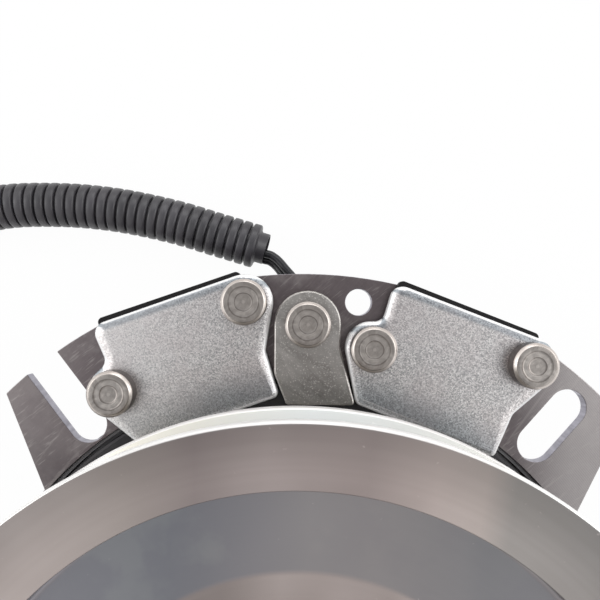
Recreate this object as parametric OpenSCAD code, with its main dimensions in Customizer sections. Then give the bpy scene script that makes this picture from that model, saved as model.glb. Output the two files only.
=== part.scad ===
// Electric power take-off clutch with a permanent-magnet brake.
// Z runs along the crankshaft. The rear faces of the hub and of the coil housing lie at z = 0,
// and the belt side points to +Z. The bracket's fan opens towards +Y.

/* [Crankshaft bore] */
// Diameter of the crankshaft bore
crank_bore_d = 28.575; // [20:0.005:30]
// Width of the keyway
keyway_w = 6.35; // [4:0.05:8]
// Depth of the keyway beyond the bore wall
keyway_depth = 3.2; // [2:0.1:4]

/* [Rotor and hub] */
// Diameter of the hub under both bearings
hub_d = 40; // [38:0.5:42]
// Hub left in front of the front retaining ring
hub_nose = 2.5; // [1:0.1:6]
// Distance from the rear face to the rear retaining ring
hub_ring_inset = 1.2; // [0.8:0.1:3]
// Thickness of the retaining rings
ring_t = 1.5; // [1:0.1:2]
// Width of the opening in each retaining ring
ring_opening = 6; // [3:0.5:10]
// How far the retaining rings stand proud of their seats
ring_reach = 2; // [1:0.1:2.5]
// Depth of the ring grooves
ring_groove = 1; // [0.5:0.1:1.5]
// Height of the boss between the rear bearing and the rotor disc
rotor_boss_h = 1.3; // [1:0.1:4]
// Thickness of the rotor disc
rotor_t = 4.4; // [4:0.1:8]
// Diameter of the rotor disc and of the armature
friction_d = 157.6; // [150:0.1:170]
// Inner diameter of the inlaid friction ring
lining_id = 114; // [108:1:118]
// Outer diameter of the inlaid friction ring
lining_od = 132; // [124:1:134]
// Thickness of the inlaid friction ring
lining_t = 1.2; // [0.8:0.1:2]
// Width of the slots that split the magnetic path
flux_slot_w = 3; // [2:0.1:4]
// Steel left between the friction ring and each ring of slots
flux_land = 2; // [1.5:0.1:2.5]
// Number of slots in each ring of slots
flux_slot_n = 6; // [3:1:8]
// Wall of the collar between rotor and belt-side bearing
collar_wall = 4; // [3:0.1:4.4]

/* [Bearings] */
// Outer diameter of the rear bearing
field_bearing_od = 62; // [58:1:66]
// Width of the rear bearing
field_bearing_w = 12; // [10:0.5:14]
// Ball diameter of the rear bearing
field_ball_d = 6; // [5:0.1:6.5]
// Outer diameter of the belt-side bearing
pulley_bearing_od = 68; // [66:1:70]
// Width of the belt-side bearing
pulley_bearing_w = 15; // [12:0.5:18]
// Ball diameter of the belt-side bearing
pulley_ball_d = 8; // [6:0.1:8.5]
// Number of balls in each bearing
ball_n = 11; // [8:1:12]
// Thickness of the bearing seals
seal_t = 1; // [0.6:0.1:1.5]

/* [Coil housing] */
// Wall of the housing around rotor and armature
shell_wall = 1.8; // [1.2:0.1:4]
// Thickness of the rear plate
shell_back_t = 4; // [3:0.1:6]
// Wall of the bearing cup
cup_wall = 4; // [3:0.1:5]
// Width of the lip that stops the rear bearing
cup_lip = 2.5; // [1:0.1:3]
// Radial thickness of the inner pole
inner_pole_t = 4; // [3:0.1:5]
// Inner diameter of the coil space
coil_space_id = 92; // [90:1:96]
// Radial thickness of the outer pole
outer_pole_t = 5.4; // [4:0.1:8]
// Air gap between the poles and the rotor
pole_gap = 1; // [0.5:0.1:2]
// Radial gap around rotor and armature
rim_gap = 0.8; // [0.5:0.05:1.2]
// Wall of the coil bobbin
bobbin_wall = 1.4; // [1:0.1:2]
// Bare bobbin left outside the winding
winding_inset = 2; // [1:0.1:4]
// Depth of the resin that closes the coil space
resin_t = 1; // [0.6:0.1:2]

/* [Armature] */
// Thickness of the armature
armature_t = 5.5; // [4:0.1:7]
// Inner diameter of the armature
armature_id = 100; // [92:1:102]
// Free gap between armature and rotor when the brake holds it
armature_gap = 0.5; // [0.45:0.01:0.8]
// Gap between armature and brake plates
brake_gap = 0.1; // [0.05:0.01:0.2]
// Chamfer of the armature's edges
armature_chamfer = 0.6; // [0.3:0.1:1]

/* [Leaf springs] */
// Number of leaf springs
spring_n = 3; // [3:1:4]
// Thickness of a leaf spring
spring_t = 0.8; // [0.5:0.05:1]
// Width of a leaf spring
spring_w = 12; // [11:0.5:13]
// Radius of the circle that the spring rivets lie on
spring_pitch_r = 60; // [59:0.5:60.5]
// Angle between the two rivets of one spring
spring_span = 38; // [34:1:44]
// Diameter of the rivets at the pulley end
drive_rivet_d = 6; // [5:0.5:7]
// Diameter of the rivets at the armature end
armature_rivet_d = 5; // [4:0.5:6]
// Head diameter of the spring rivets
spring_rivet_head_d = 10; // [9:0.5:10.5]
// Head height of the spring rivets
spring_rivet_head_h = 1.4; // [1:0.1:2]

/* [Pulley] */
// Diameter of the V pulley
pulley_d = 158.75; // [150:0.25:159]
// Thickness of the pulley's sheet along Z
pulley_sheet = 3; // [2:0.1:3.5]
// Width of the groove between the flanges at the rim
groove_top_w = 15.9; // [12:0.1:18]
// Width of the groove at its bottom
groove_bottom_w = 8.2; // [6:0.1:9]
// Diameter of the groove's bottom
groove_bottom_d = 138.4; // [134:0.2:142]
// How far the rear rim's radius stays behind the front rim's
rear_rim_inset = 1; // [0:0.1:2]
// Distance from the rear face to the middle of the groove
groove_z = 62.75; // [60:0.05:66]
// Thickness of the groove's cylindrical wall
groove_wall = 2.8; // [2:0.1:3.5]
// Distance from the groove's middle back to the web's front face
web_offset = 2.75; // [2:0.05:3]
// Diameter where the flat web turns back into a cone
web_cone_d = 97.2; // [92:0.1:104]
// Angle of the web's cone
web_cone_angle = 20; // [10:1:25]
// Outer diameter of the pulley hub
pulley_hub_d = 80; // [78:0.5:84]
// Distance from the rear face to the belt-side bearing
pulley_bearing_z = 38; // [37:0.1:40]
// Depth of the lip behind the belt-side bearing
bearing_lip = 4; // [2:0.1:5]
// Diameter of the flange that drives the leaf springs
drive_flange_d = 136; // [134:1:140]
// Thickness of the drive flange
drive_flange_t = 3; // [2.5:0.1:4]
// Height of the bosses under the drive flange
drive_boss_h = 3.8; // [3.2:0.1:5]
// Diameter of the bosses under the drive flange
drive_boss_d = 14; // [12:0.5:15]

/* [Mounting bracket] */
// Thickness of the bracket
bracket_t = 3.2; // [2.5:0.1:4]
// Radial clearance between the armature and the bracket's round inner edge
bracket_clearance = 1.6; // [1:0.1:2]
// Radial width of the bracket
bracket_ring_w = 25.3; // [23:0.1:30]
// Distance from the axis up to the centre of the bracket's outer edge
bracket_arc_up = 1.5; // [0:0.1:4]
// Sideways distance of the bracket's fan, and of all that it carries, from the axis
fan_shift = 1.5; // [0:0.1:2]
// Width of the bracket from corner to corner
bracket_w = 151.5; // [144:0.5:160]
// Angle between the bracket's side edges and its middle line
bracket_side_angle = 24.2; // [15:0.1:35]
// Width of both slots
slot_w = 9.1; // [7:0.1:10]
// Distance between the middle lines of the two slots, where the closed slot begins
slot_spacing = 109.2; // [107:0.2:112]
// How far the middle between the slots lies beside the fan's middle line
slot_offset = 0.2; // [0:0.1:1]
// Distance from the housing to the centre of the closed slot's inner end
slot_inset = 4.6; // [4.4:0.1:8]
// Distance between the centres of the closed slot's ends
slot_l = 11.6; // [6:0.1:12.5]
// Distance from the housing to the centre of the open slot's inner end
open_slot_inset = 5.2; // [4.4:0.1:8]
// Diameter of the small round hole
bracket_hole_d = 6.5; // [4:0.1:8]
// Distance from the small hole's centre to the bracket's outer edge
bracket_hole_edge = 6; // [4.4:0.1:8]
// Distance of the small hole's centre from the bracket's middle line
bracket_hole_x = 9.6; // [9:0.1:11]

/* [Brake] */
// Thickness of the brake plates and of the centre tab
brake_plate_t = 3; // [2:0.1:4]
// Distance between the middle lines of the two brake plates at their inner edges
brake_plate_pitch = 51.1; // [50.2:0.1:52]
// Angle of the pair's middle line to the bracket's middle line
brake_turn = 1.1; // [0:0.1:1.5]
// How far the brake plates reach in over the armature
brake_overlap = 4.7; // [3:0.1:6]
// Radial width of the brake plates
brake_plate_w = 30.2; // [29.6:0.1:31]
// Thickness of the magnet holders
holder_t = 2.5; // [2:0.1:4]
// Distance from the bracket's inner edge to the magnet holders
holder_inset = 2; // [1:0.1:4]
// How far the magnet holders stand out beyond the brake plates
holder_edge = 1.3; // [0.5:0.1:3]
// Distance of the magnets' middle from the brake plates' inner edge
magnet_inset = 17.2; // [15:0.1:19]
// Length of a brake magnet along the rim
magnet_l = 20; // [12:0.5:22]
// Width of a brake magnet
magnet_w = 9; // [6:0.5:10]
// Distance of the inner stud from the brake plate's middle line
stud_inner_x = 16.9; // [16.4:0.1:17.4]
// Distance of the inner stud from the brake plate's inner edge
stud_inner_up = 13.7; // [13:0.1:14.5]
// Distance of the outer stud from the brake plate's middle line
stud_outer_x = 19.1; // [18.6:0.1:19.4]
// Distance of the outer stud from the brake plate's inner edge
stud_outer_up = 23.8; // [22.8:0.1:24]
// Distance of the centre tab's stud from the brake plates' inner edge
tab_stud_up = 19.5; // [18:0.1:21]
// Head diameter of the studs
stud_d = 10.7; // [9:0.1:11.5]
// Height of the stud heads
stud_h = 4.5; // [3:0.1:6]
// Shank diameter of the studs
stud_shank_d = 6; // [4:0.5:6.5]
// Diameter of the studs' spacing shoulder
stud_shoulder_d = 8; // [7.5:0.1:8.5]
// Chamfer of the stud heads
stud_chamfer = 0.65; // [0.3:0.05:1]
// Height of the riveted tail behind the bracket
stud_tail_h = 1.2; // [0.8:0.1:2]
// Angle of the centre tab to the bracket's middle line
tab_turn = 1.65; // [1.2:0.05:2.2]
// Diameter of the spacer under the centre tab
tab_spacer_d = 13; // [10:0.5:14]

/* [Coil lead] */
// Diameter of each wire
wire_d = 2.3; // [1.8:0.1:2.5]
// Distance between the two wires in the grommet
wire_pitch = 2.8; // [2.6:0.1:3.2]
// Height of the grommet's middle above the rear face
grommet_z = 9; // [8:0.1:10]
// Diameter of the grommet in the housing wall
grommet_d = 8; // [7:0.1:9]
// Diameter of the grommet's flange
grommet_flange_d = 11; // [10:0.1:12]
// How far the grommet stands out of the housing
grommet_out = 3.1; // [2.4:0.1:4]
// Outer diameter of the corrugated conduit
conduit_d = 12; // [11:0.1:12]
// Width of the plug
plug_w = 19; // [18:0.5:24]
// Height of the plug
plug_h = 14; // [13:0.5:18]
// Length of the plug
plug_l = 30; // [26:0.5:40]
// Depth of the plug's socket
socket_depth = 13; // [10:0.5:16]
// Wall of the plug around its socket
socket_wall = 1.8; // [1.2:0.1:2]
// Distance between the two terminals
terminal_pitch = 7; // [6.5:0.1:8]
// Diameter of a terminal pin
terminal_d = 1.6; // [1.2:0.1:2]
// Depth of the seal on the socket's floor
plug_seal_t = 2; // [1:0.1:3]

/* [Hidden] */
$fn = 96;

// Extra length of a cutting shape beyond the face that it cuts
cut = 1;

hub_r = hub_d / 2;
friction_r = friction_d / 2;

// Stack of heights from the rear face to the belt side
field_bearing_z = hub_ring_inset + ring_t;
rotor_z = field_bearing_z + field_bearing_w + rotor_boss_h;
rotor_top = rotor_z + rotor_t;
pole_z = rotor_z - pole_gap;
armature_z = rotor_top + armature_gap;
armature_top = armature_z + armature_t;
brake_z = armature_top + brake_gap;
brake_top = brake_z + brake_plate_t;
bracket_top = brake_z - holder_t;
bracket_z = bracket_top - bracket_t;
spring_top = armature_top + spring_t;
drive_flange_z = spring_top + drive_boss_h;
front_ring_z = pulley_bearing_z + pulley_bearing_w;
hub_len = front_ring_z + ring_t + hub_nose;

// Coil housing
shell_bore_r = friction_r + rim_gap;
shell_r = shell_bore_r + shell_wall;
outer_pole_r = shell_r - outer_pole_t;
coil_space_r = coil_space_id / 2;
cup_r = field_bearing_od / 2;
winding_r = outer_pole_r - winding_inset;

// Slots of rotor and armature lie just outside and inside the inlaid lining
outer_slot_r = lining_od / 2 + flux_land;
inner_slot_r = lining_id / 2 - flux_land - flux_slot_w;
flux_slot_span = 360 / flux_slot_n * 0.72;

// Pulley profile
pulley_r = pulley_d / 2;
groove_r = groove_bottom_d / 2;
web_cone_r = web_cone_d / 2;
pulley_hub_r = pulley_hub_d / 2;
groove_half_top = groove_top_w / 2;
groove_half_bottom = groove_bottom_w / 2;
front_rim_z = groove_z + groove_half_top;
rear_rim_z = groove_z - groove_half_top;
rear_rim_r = pulley_r - rear_rim_inset;
web_front_z = groove_z - web_offset;
web_mid_z = web_front_z - groove_wall;
web_rear_z = web_mid_z - groove_wall;
inner_lip_drop = 1;
web_cone_drop = (web_cone_r - pulley_hub_r) * tan(web_cone_angle);
flange_slope = (groove_half_top - groove_half_bottom) / (pulley_r - groove_r);
pulley_bearing_r = pulley_bearing_od / 2;
pulley_hub_top = max(web_front_z - web_cone_drop, front_ring_z + ring_t + hub_nose);

// Mounting bracket, from the armature outwards
bracket_bore_r = friction_r + bracket_clearance;
bracket_r = bracket_bore_r + bracket_ring_w;
bracket_half_angle = asin(bracket_w / 2 / bracket_r);
slot_r_in = shell_r + slot_inset;
slot_r_out = slot_r_in + slot_l;
open_slot_r = shell_r + open_slot_inset;
slot_angle = asin((slot_spacing / 2 - slot_offset) / slot_r_in);
open_slot_angle = asin((slot_spacing / 2 + slot_offset) / slot_r_in);
bracket_hole_r = bracket_r - bracket_hole_edge;
bracket_hole_angle = asin(bracket_hole_x / bracket_hole_r);

// Brake plates, each in its own frame where Y points away from the axis
brake_inner_y = friction_r - brake_overlap;
brake_outer_y = brake_inner_y + brake_plate_w;
brake_plate_angle = asin(brake_plate_pitch / 2 / brake_inner_y);
holder_inner_y = bracket_bore_r + holder_inset;
holder_outer_y = brake_outer_y + holder_edge;
stud_inner = [-stud_inner_x, brake_inner_y + stud_inner_up];
stud_outer = [stud_outer_x, brake_inner_y + stud_outer_up];
tab_stud_y = brake_inner_y + tab_stud_up;
// Rounded ends around the two studs
inner_lobe_r = 6.3;
outer_lobe_r = 6.6;

// Routes of the lead, chosen by hand
wire_a_route = [
    [1.4, 83, 9], [1.4, 85.5, 9], [0.9, 92.5, 9.1], [-0.7, 98, 9],
    [-3.5, 103, 8.7], [-6.9, 106.9, 8.2], [-11.25, 110.85, 7.45], [-13.2, 111.35, 7.4]
];
wire_b_route = [
    [-1.4, 83, 9], [-1.4, 85.5, 9], [-1.6, 92, 8.5], [-2.8, 97.1, 7.8],
    [-5.1, 101.9, 7.1], [-8, 105.8, 6.2], [-11.6, 109.3, 5.45], [-13.55, 109.8, 5.4]
];
conduit_route = [
    [-12.9, 112.6, 6.2], [-25.8, 115.9, 6], [-39, 119.2, 6], [-54.9, 121.7, 6],
    [-70.6, 122.3, 6], [-86.4, 120.9, 6], [-100.6, 116, 6], [-113, 107.5, 6],
    [-122, 95, 6], [-127.5, 80, 6], [-129.5, 63, 6], [-129, 46, 6],
    [-126.5, 31, 6], [-123.5, 17, 6.4], [-121, 7, 7], [-121, 0, 7]
];
plug_end = conduit_route[len(conduit_route) - 1];

function unit(v) = v / norm(v);
function polar(r, a) = [r * cos(a), r * sin(a)];

// Outline that runs counter-clockwise around circles [x, y, r] and straight between them.
// A negative radius makes an inside corner.
function tangent_angle(a, b) =
    atan2(b[1] - a[1], b[0] - a[0]) - acos((a[2] - b[2]) / norm([b[0] - a[0], b[1] - a[1]]));
function turn_between(a0, a1, r) =
    r > 0 ? (a1 - a0 + 720) % 360 : -((a0 - a1 + 720) % 360);
function outline(circles, steps = 12) = [
    for (i = [0:len(circles) - 1])
        let (
            before = circles[(i + len(circles) - 1) % len(circles)],
            here = circles[i],
            after = circles[(i + 1) % len(circles)],
            a0 = tangent_angle(before, here),
            turn = turn_between(a0, tangent_angle(here, after), here[2])
        )
        for (s = [0:steps])
            [here[0], here[1]] + polar(here[2], a0 + turn * s / steps)
];

// Closed tube along a route, with flat ends
function route_dir(p, i) = unit(p[min(i + 1, len(p) - 1)] - p[max(i - 1, 0)]);
function ring_points(p, i, r, sides) =
    let (t = route_dir(p, i), side = unit(cross([0, 0, 1], t)), up = cross(t, side))
    [for (j = [0:sides - 1]) p[i] + r * (cos(360 * j / sides) * side + sin(360 * j / sides) * up)];
module tube(p, r, sides) {
    n = len(p);
    points = [for (i = [0:n - 1]) each ring_points(p, i, r, sides)];
    walls = [
        for (i = [0:n - 2])
            for (j = [0:sides - 1])
                let (k = (j + 1) % sides)
                [i * sides + j, (i + 1) * sides + j, (i + 1) * sides + k, i * sides + k]
    ];
    start = [for (j = [0:sides - 1]) j];
    end = [for (j = [sides - 1:-1:0]) (n - 1) * sides + j];
    polyhedron(points = points, faces = concat([start], walls, [end]), convexity = 6);
}

// Turns a shape whose own +Y is radial to the given direction around the axis
module at_angle(a) {
    rotate([0, 0, a - 90]) children();
}

module ring(r_in, r_out, z, h) {
    translate([0, 0, z])
        difference() {
            cylinder(r = r_out, h = h);
            translate([0, 0, -cut]) cylinder(r = r_in, h = h + 2 * cut);
        }
}

module arc_slot(r, w, z, h, start, span) {
    rotate([0, 0, start])
        translate([0, 0, z])
            rotate_extrude(angle = span)
                translate([r, 0]) square([w, h]);
}

module arc_slots(r, z, h) {
    for (i = [0:flux_slot_n - 1])
        arc_slot(r, flux_slot_w, z, h, i * 360 / flux_slot_n - flux_slot_span / 2, flux_slot_span);
}

// Spring ring with a gap for its pliers
module retaining_ring(r_in, r_out, z, gap_angle) {
    difference() {
        ring(r_in, r_out, z, ring_t);
        rotate([0, 0, gap_angle])
            translate([0, -ring_opening / 2, z - cut])
                cube([r_out + cut, ring_opening, ring_t + 2 * cut]);
    }
}

// Deep-groove ball bearing: each part takes the same four sizes
ball_play = 0.05;
seal_play = 0.3;
function pitch_r(od) = (hub_r + od / 2) / 2;
function land(ball_d) = ball_d * 0.2;
module ball_groove(od, z, w, ball_d) {
    translate([0, 0, z + w / 2])
        rotate_extrude() translate([pitch_r(od), 0]) circle(d = ball_d + 2 * ball_play);
}
module bearing_outer(od, z, w, ball_d) {
    color("lightsteelblue")
        difference() {
            ring(pitch_r(od) + land(ball_d), od / 2, z, w);
            ball_groove(od, z, w, ball_d);
        }
}
module bearing_inner(od, z, w, ball_d) {
    color("silver")
        difference() {
            ring(hub_r, pitch_r(od) - land(ball_d), z, w);
            ball_groove(od, z, w, ball_d);
        }
}
module bearing_balls(od, z, w, ball_d) {
    color("white")
        for (i = [0:ball_n - 1])
            rotate([0, 0, i * 360 / ball_n])
                translate([pitch_r(od), 0, z + w / 2]) sphere(d = ball_d);
}
module bearing_seals(od, z, w, ball_d) {
    color("dimgray")
        for (seal_z = [z, z + w - seal_t])
            ring(pitch_r(od) - land(ball_d) + seal_play, pitch_r(od) + land(ball_d), seal_z, seal_t);
}

module field_shell() {
    color("gray")
        difference() {
            union() {
                ring(cup_r - cup_lip, shell_r, 0, shell_back_t);
                ring(cup_r, cup_r + cup_wall, 0, field_bearing_z + field_bearing_w);
                ring(coil_space_r - inner_pole_t, coil_space_r, 0, pole_z);
                ring(outer_pole_r, shell_r, 0, pole_z);
                ring(shell_bore_r, shell_r, pole_z - cut, bracket_z + cut - pole_z);
            }
            translate([0, 0, field_bearing_z]) cylinder(r = cup_r, h = bracket_z);
            grommet_hole();
        }
}

module grommet_hole() {
    translate([0, outer_pole_r - cut, grommet_z])
        rotate([-90, 0, 0]) cylinder(d = grommet_d, h = shell_r);
}

module coil_bobbin() {
    color("black")
        difference() {
            ring(coil_space_r, outer_pole_r, shell_back_t, pole_z - resin_t - shell_back_t);
            ring(coil_space_r + bobbin_wall, outer_pole_r + cut, shell_back_t + bobbin_wall,
                pole_z - resin_t - shell_back_t - 2 * bobbin_wall);
        }
}

module coil_winding() {
    color("chocolate")
        ring(coil_space_r + bobbin_wall, winding_r, shell_back_t + bobbin_wall,
            pole_z - resin_t - shell_back_t - 2 * bobbin_wall);
}

module potting_resin() {
    color("darkslategray") ring(coil_space_r, outer_pole_r, pole_z - resin_t, resin_t);
}

module field_bearing(part) {
    if (part == "outer") bearing_outer(field_bearing_od, field_bearing_z, field_bearing_w, field_ball_d);
    if (part == "inner") bearing_inner(field_bearing_od, field_bearing_z, field_bearing_w, field_ball_d);
    if (part == "balls") bearing_balls(field_bearing_od, field_bearing_z, field_bearing_w, field_ball_d);
    if (part == "seals") bearing_seals(field_bearing_od, field_bearing_z, field_bearing_w, field_ball_d);
}

module pulley_bearing(part) {
    if (part == "outer")
        bearing_outer(pulley_bearing_od, pulley_bearing_z, pulley_bearing_w, pulley_ball_d);
    if (part == "inner")
        bearing_inner(pulley_bearing_od, pulley_bearing_z, pulley_bearing_w, pulley_ball_d);
    if (part == "balls")
        bearing_balls(pulley_bearing_od, pulley_bearing_z, pulley_bearing_w, pulley_ball_d);
    if (part == "seals")
        bearing_seals(pulley_bearing_od, pulley_bearing_z, pulley_bearing_w, pulley_ball_d);
}

// The bracket's side edges run from the outer corners in towards the round inner edge
module bracket_wedge() {
    corner = polar(bracket_r, 90 - bracket_half_angle);
    foot = [corner[0] - corner[1] * tan(bracket_side_angle), 0];
    beyond = [corner[0] + bracket_r * tan(bracket_side_angle), corner[1] + bracket_r];
    polygon([foot, beyond, [-beyond[0], beyond[1]], [-foot[0], foot[1]]]);
}

module slot_shape(r0, r1) {
    translate([0, r0]) circle(d = slot_w);
    translate([0, r1]) circle(d = slot_w);
    translate([-slot_w / 2, r0]) square([slot_w, r1 - r0]);
}

module mounting_bracket() {
    color("dimgray")
        difference() {
            translate([0, 0, bracket_z])
                linear_extrude(bracket_t)
                    difference() {
                        at_fan()
                            intersection() {
                                translate([0, bracket_arc_up]) circle(r = bracket_r - bracket_arc_up);
                                bracket_wedge();
                            }
                        circle(r = bracket_bore_r);
                        at_fan() {
                            at_angle(90 - slot_angle) slot_shape(slot_r_in, slot_r_out);
                            at_angle(90 + open_slot_angle) slot_shape(open_slot_r, bracket_r + slot_w);
                            at_angle(90 - bracket_hole_angle)
                                translate([0, bracket_hole_r]) circle(d = bracket_hole_d);
                        }
                    }
            for (side = [-1, 1])
                at_brake_plate(side) brake_stud_places() stud_hole(bracket_z, bracket_t);
            at_tab() translate([0, tab_stud_y, 0]) stud_hole(bracket_z, bracket_t);
        }
}

// The fan's own middle, beside the axis
module at_fan() {
    translate([fan_shift, 0]) children();
}

// side is 1 for the left plate and -1 for the right plate
module at_brake_plate(side) {
    at_fan() at_angle(90 + brake_turn + side * brake_plate_angle) children();
}

module at_tab() {
    at_fan() at_angle(90 + tab_turn) children();
}

module brake_stud_places() {
    for (place = [stud_inner, stud_outer])
        translate([place[0], place[1], 0]) children();
}

module stud_hole(z, h) {
    translate([0, 0, z - cut]) cylinder(d = stud_shank_d, h = h + 2 * cut);
}

// Outside corners of a brake plate: distance from the middle line, and radius
foot_left_x = 14.5;
foot_left_r = 2;
foot_right_x = 18.1;
foot_right_r = 1.5;
shoulder_x = 14.2;
shoulder_r = 3;
// Inside corners next to the two rounded ends: place, and radius
waist_right_x = 22.9;
waist_right_up = 10.5;
waist_right_r = 3;
waist_left_x = 19.2;
waist_left_down = 8;
waist_left_r = 2.4;
module brake_plate_shape() {
    polygon(outline([
        [-foot_left_x, brake_inner_y + foot_left_r, foot_left_r],
        [foot_right_x, brake_inner_y + foot_right_r, foot_right_r],
        [waist_right_x, brake_inner_y + waist_right_up, -waist_right_r],
        [stud_outer[0], stud_outer[1], outer_lobe_r],
        [-shoulder_x, brake_outer_y - shoulder_r, shoulder_r],
        [-waist_left_x, brake_outer_y - waist_left_down, -waist_left_r],
        [stud_inner[0], stud_inner[1], inner_lobe_r]
    ]));
}

module brake_plate(side) {
    color("gainsboro")
        at_brake_plate(side)
            difference() {
                translate([0, 0, brake_z]) linear_extrude(brake_plate_t) brake_plate_shape();
                brake_stud_places() stud_hole(brake_z, brake_plate_t);
            }
}

// The holder spans the gap between bracket and plate and leaves room for the studs
holder_x0 = -16.2;
holder_x1 = 19.9;
holder_corner_r = 1.2;
magnet_x = 1;
stud_play = 0.3;
module magnet_place(extra) {
    translate([magnet_x - magnet_l / 2, brake_inner_y + magnet_inset - magnet_w / 2, bracket_top - extra])
        cube([magnet_l, magnet_w, holder_t + 2 * extra]);
}

module holder_shape() {
    r = holder_corner_r;
    polygon(outline([
        [holder_x0 + r, holder_inner_y + r, r],
        [holder_x1 - r, holder_inner_y + r, r],
        [holder_x1 - r, holder_outer_y - r, r],
        [holder_x0 + r, holder_outer_y - r, r]
    ]));
}

module magnet_holder(side) {
    color("black")
        at_brake_plate(side)
            difference() {
                translate([0, 0, bracket_top])
                    linear_extrude(holder_t)
                        holder_shape();
                brake_stud_places()
                    translate([0, 0, bracket_top - cut])
                        cylinder(d = stud_shoulder_d + 2 * stud_play, h = holder_t + 2 * cut);
                magnet_place(cut);
            }
}

module brake_magnets() {
    color("slategray")
        for (side = [-1, 1])
            at_brake_plate(side) magnet_place(0);
}

// Turned stud: riveted tail, shank, shoulder between bracket and plate, chamfered head
module stud(shoulder_d) {
    shank_r = stud_shank_d / 2;
    head_r = stud_d / 2;
    head_top = brake_top + stud_h;
    rotate_extrude()
        polygon([
            [0, bracket_z - stud_tail_h],
            [shoulder_d / 2 - stud_tail_h / 2, bracket_z - stud_tail_h],
            [shoulder_d / 2, bracket_z - stud_tail_h / 2],
            [shoulder_d / 2, bracket_z],
            [shank_r, bracket_z],
            [shank_r, bracket_top],
            [shoulder_d / 2, bracket_top],
            [shoulder_d / 2, brake_z],
            [shank_r, brake_z],
            [shank_r, brake_top],
            [head_r, brake_top],
            [head_r, head_top - stud_chamfer],
            [head_r - stud_chamfer, head_top],
            [0, head_top]
        ]);
}

module brake_studs(side) {
    color("lightgray") at_brake_plate(side) brake_stud_places() stud(stud_shoulder_d);
}

// Outline of the centre tab: foot corners, inside corner, rounded head and bend of the left edge
tab_left_x = 4.2;
tab_right_x = 10.3;
tab_foot_r = 0.9;
tab_foot_up = 1.3;
tab_waist_x = 13.7;
tab_waist_up = 14.7;
tab_waist_r = 6;
tab_head_r = 7.9;
tab_bend_x = 4.8;
tab_bend_up = 8.4;
tab_bend_r = 3;
module centre_tab_shape() {
    polygon(outline([
        [-tab_left_x, brake_inner_y + tab_foot_up, tab_foot_r],
        [tab_right_x, brake_inner_y + tab_foot_up, tab_foot_r],
        [tab_waist_x, brake_inner_y + tab_waist_up, -tab_waist_r],
        [0, tab_stud_y, tab_head_r],
        [-tab_bend_x, brake_inner_y + tab_bend_up, tab_bend_r]
    ]));
}

module centre_tab() {
    color("darkgray")
        at_tab()
            difference() {
                translate([0, 0, brake_z]) linear_extrude(brake_plate_t) centre_tab_shape();
                translate([0, tab_stud_y, 0]) stud_hole(brake_z, brake_plate_t);
            }
}

module tab_spacer() {
    color("silver")
        at_tab()
            translate([0, tab_stud_y, 0])
                ring(stud_shoulder_d / 2, tab_spacer_d / 2, bracket_top, holder_t);
}

module tab_stud() {
    color("lightgray") at_tab() translate([0, tab_stud_y, 0]) stud(stud_shoulder_d);
}

module lead_grommet() {
    color("black")
        difference() {
            translate([0, outer_pole_r, grommet_z])
                rotate([-90, 0, 0]) {
                    cylinder(d = grommet_d, h = shell_r + grommet_out - outer_pole_r);
                    translate([0, 0, outer_pole_t])
                        cylinder(d = grommet_flange_d, h = grommet_out - cut);
                }
            for (side = [-1, 1])
                translate([side * wire_pitch / 2, outer_pole_r - cut, grommet_z])
                    rotate([-90, 0, 0]) cylinder(d = wire_d + 0.1, h = shell_r);
        }
}

module lead_wire(route) {
    color("black") tube(route, wire_d / 2, 8);
}

module lead_conduit() {
    color("darkslategray") tube(conduit_route, conduit_d / 2, 12);
}

// The plug lies on the floor with its socket facing -Y
module at_plug() {
    translate([plug_end[0], plug_end[1], plug_h / 2]) rotate([90, 0, 0]) children();
}

plug_round = 2;
collar_l = 6;
latch_w = 6;
latch_t = 1.6;
module plug_shape(grow) {
    polygon(outline([
        for (c = [[-1, -1], [1, -1], [1, 1], [-1, 1]])
            [c[0] * (plug_w / 2 - plug_round), c[1] * (plug_h / 2 - plug_round), plug_round + grow]
    ]));
}

module connector_housing() {
    socket_z = plug_l - socket_depth;
    color("dimgray")
        at_plug()
            difference() {
                union() {
                    cylinder(d = conduit_d + 1, h = collar_l);
                    translate([0, 0, collar_l]) linear_extrude(plug_l - collar_l) plug_shape(0);
                    translate([-latch_w / 2, plug_h / 2, collar_l])
                        cube([latch_w, latch_t, plug_l - 2 * collar_l]);
                }
                translate([0, 0, socket_z])
                    linear_extrude(socket_depth + cut) plug_shape(-socket_wall);
                for (side = [-1, 1])
                    translate([side * terminal_pitch / 2, 0, collar_l])
                        cylinder(d = terminal_d, h = plug_l);
            }
}

module connector_seal() {
    color("seagreen")
        at_plug()
            translate([0, 0, plug_l - socket_depth])
                difference() {
                    linear_extrude(plug_seal_t) plug_shape(-socket_wall);
                    for (side = [-1, 1])
                        translate([side * terminal_pitch / 2, 0, -cut])
                            cylinder(d = terminal_d, h = plug_seal_t + 2 * cut);
                }
}

module connector_terminals() {
    color("gold")
        at_plug()
            for (side = [-1, 1])
                translate([side * terminal_pitch / 2, 0, collar_l]) {
                    cylinder(d = terminal_d, h = plug_l - collar_l - 3 - terminal_d / 2);
                    translate([0, 0, plug_l - collar_l - 3 - terminal_d / 2])
                        cylinder(d1 = terminal_d, d2 = terminal_d / 3, h = terminal_d / 2);
                }
}

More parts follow.
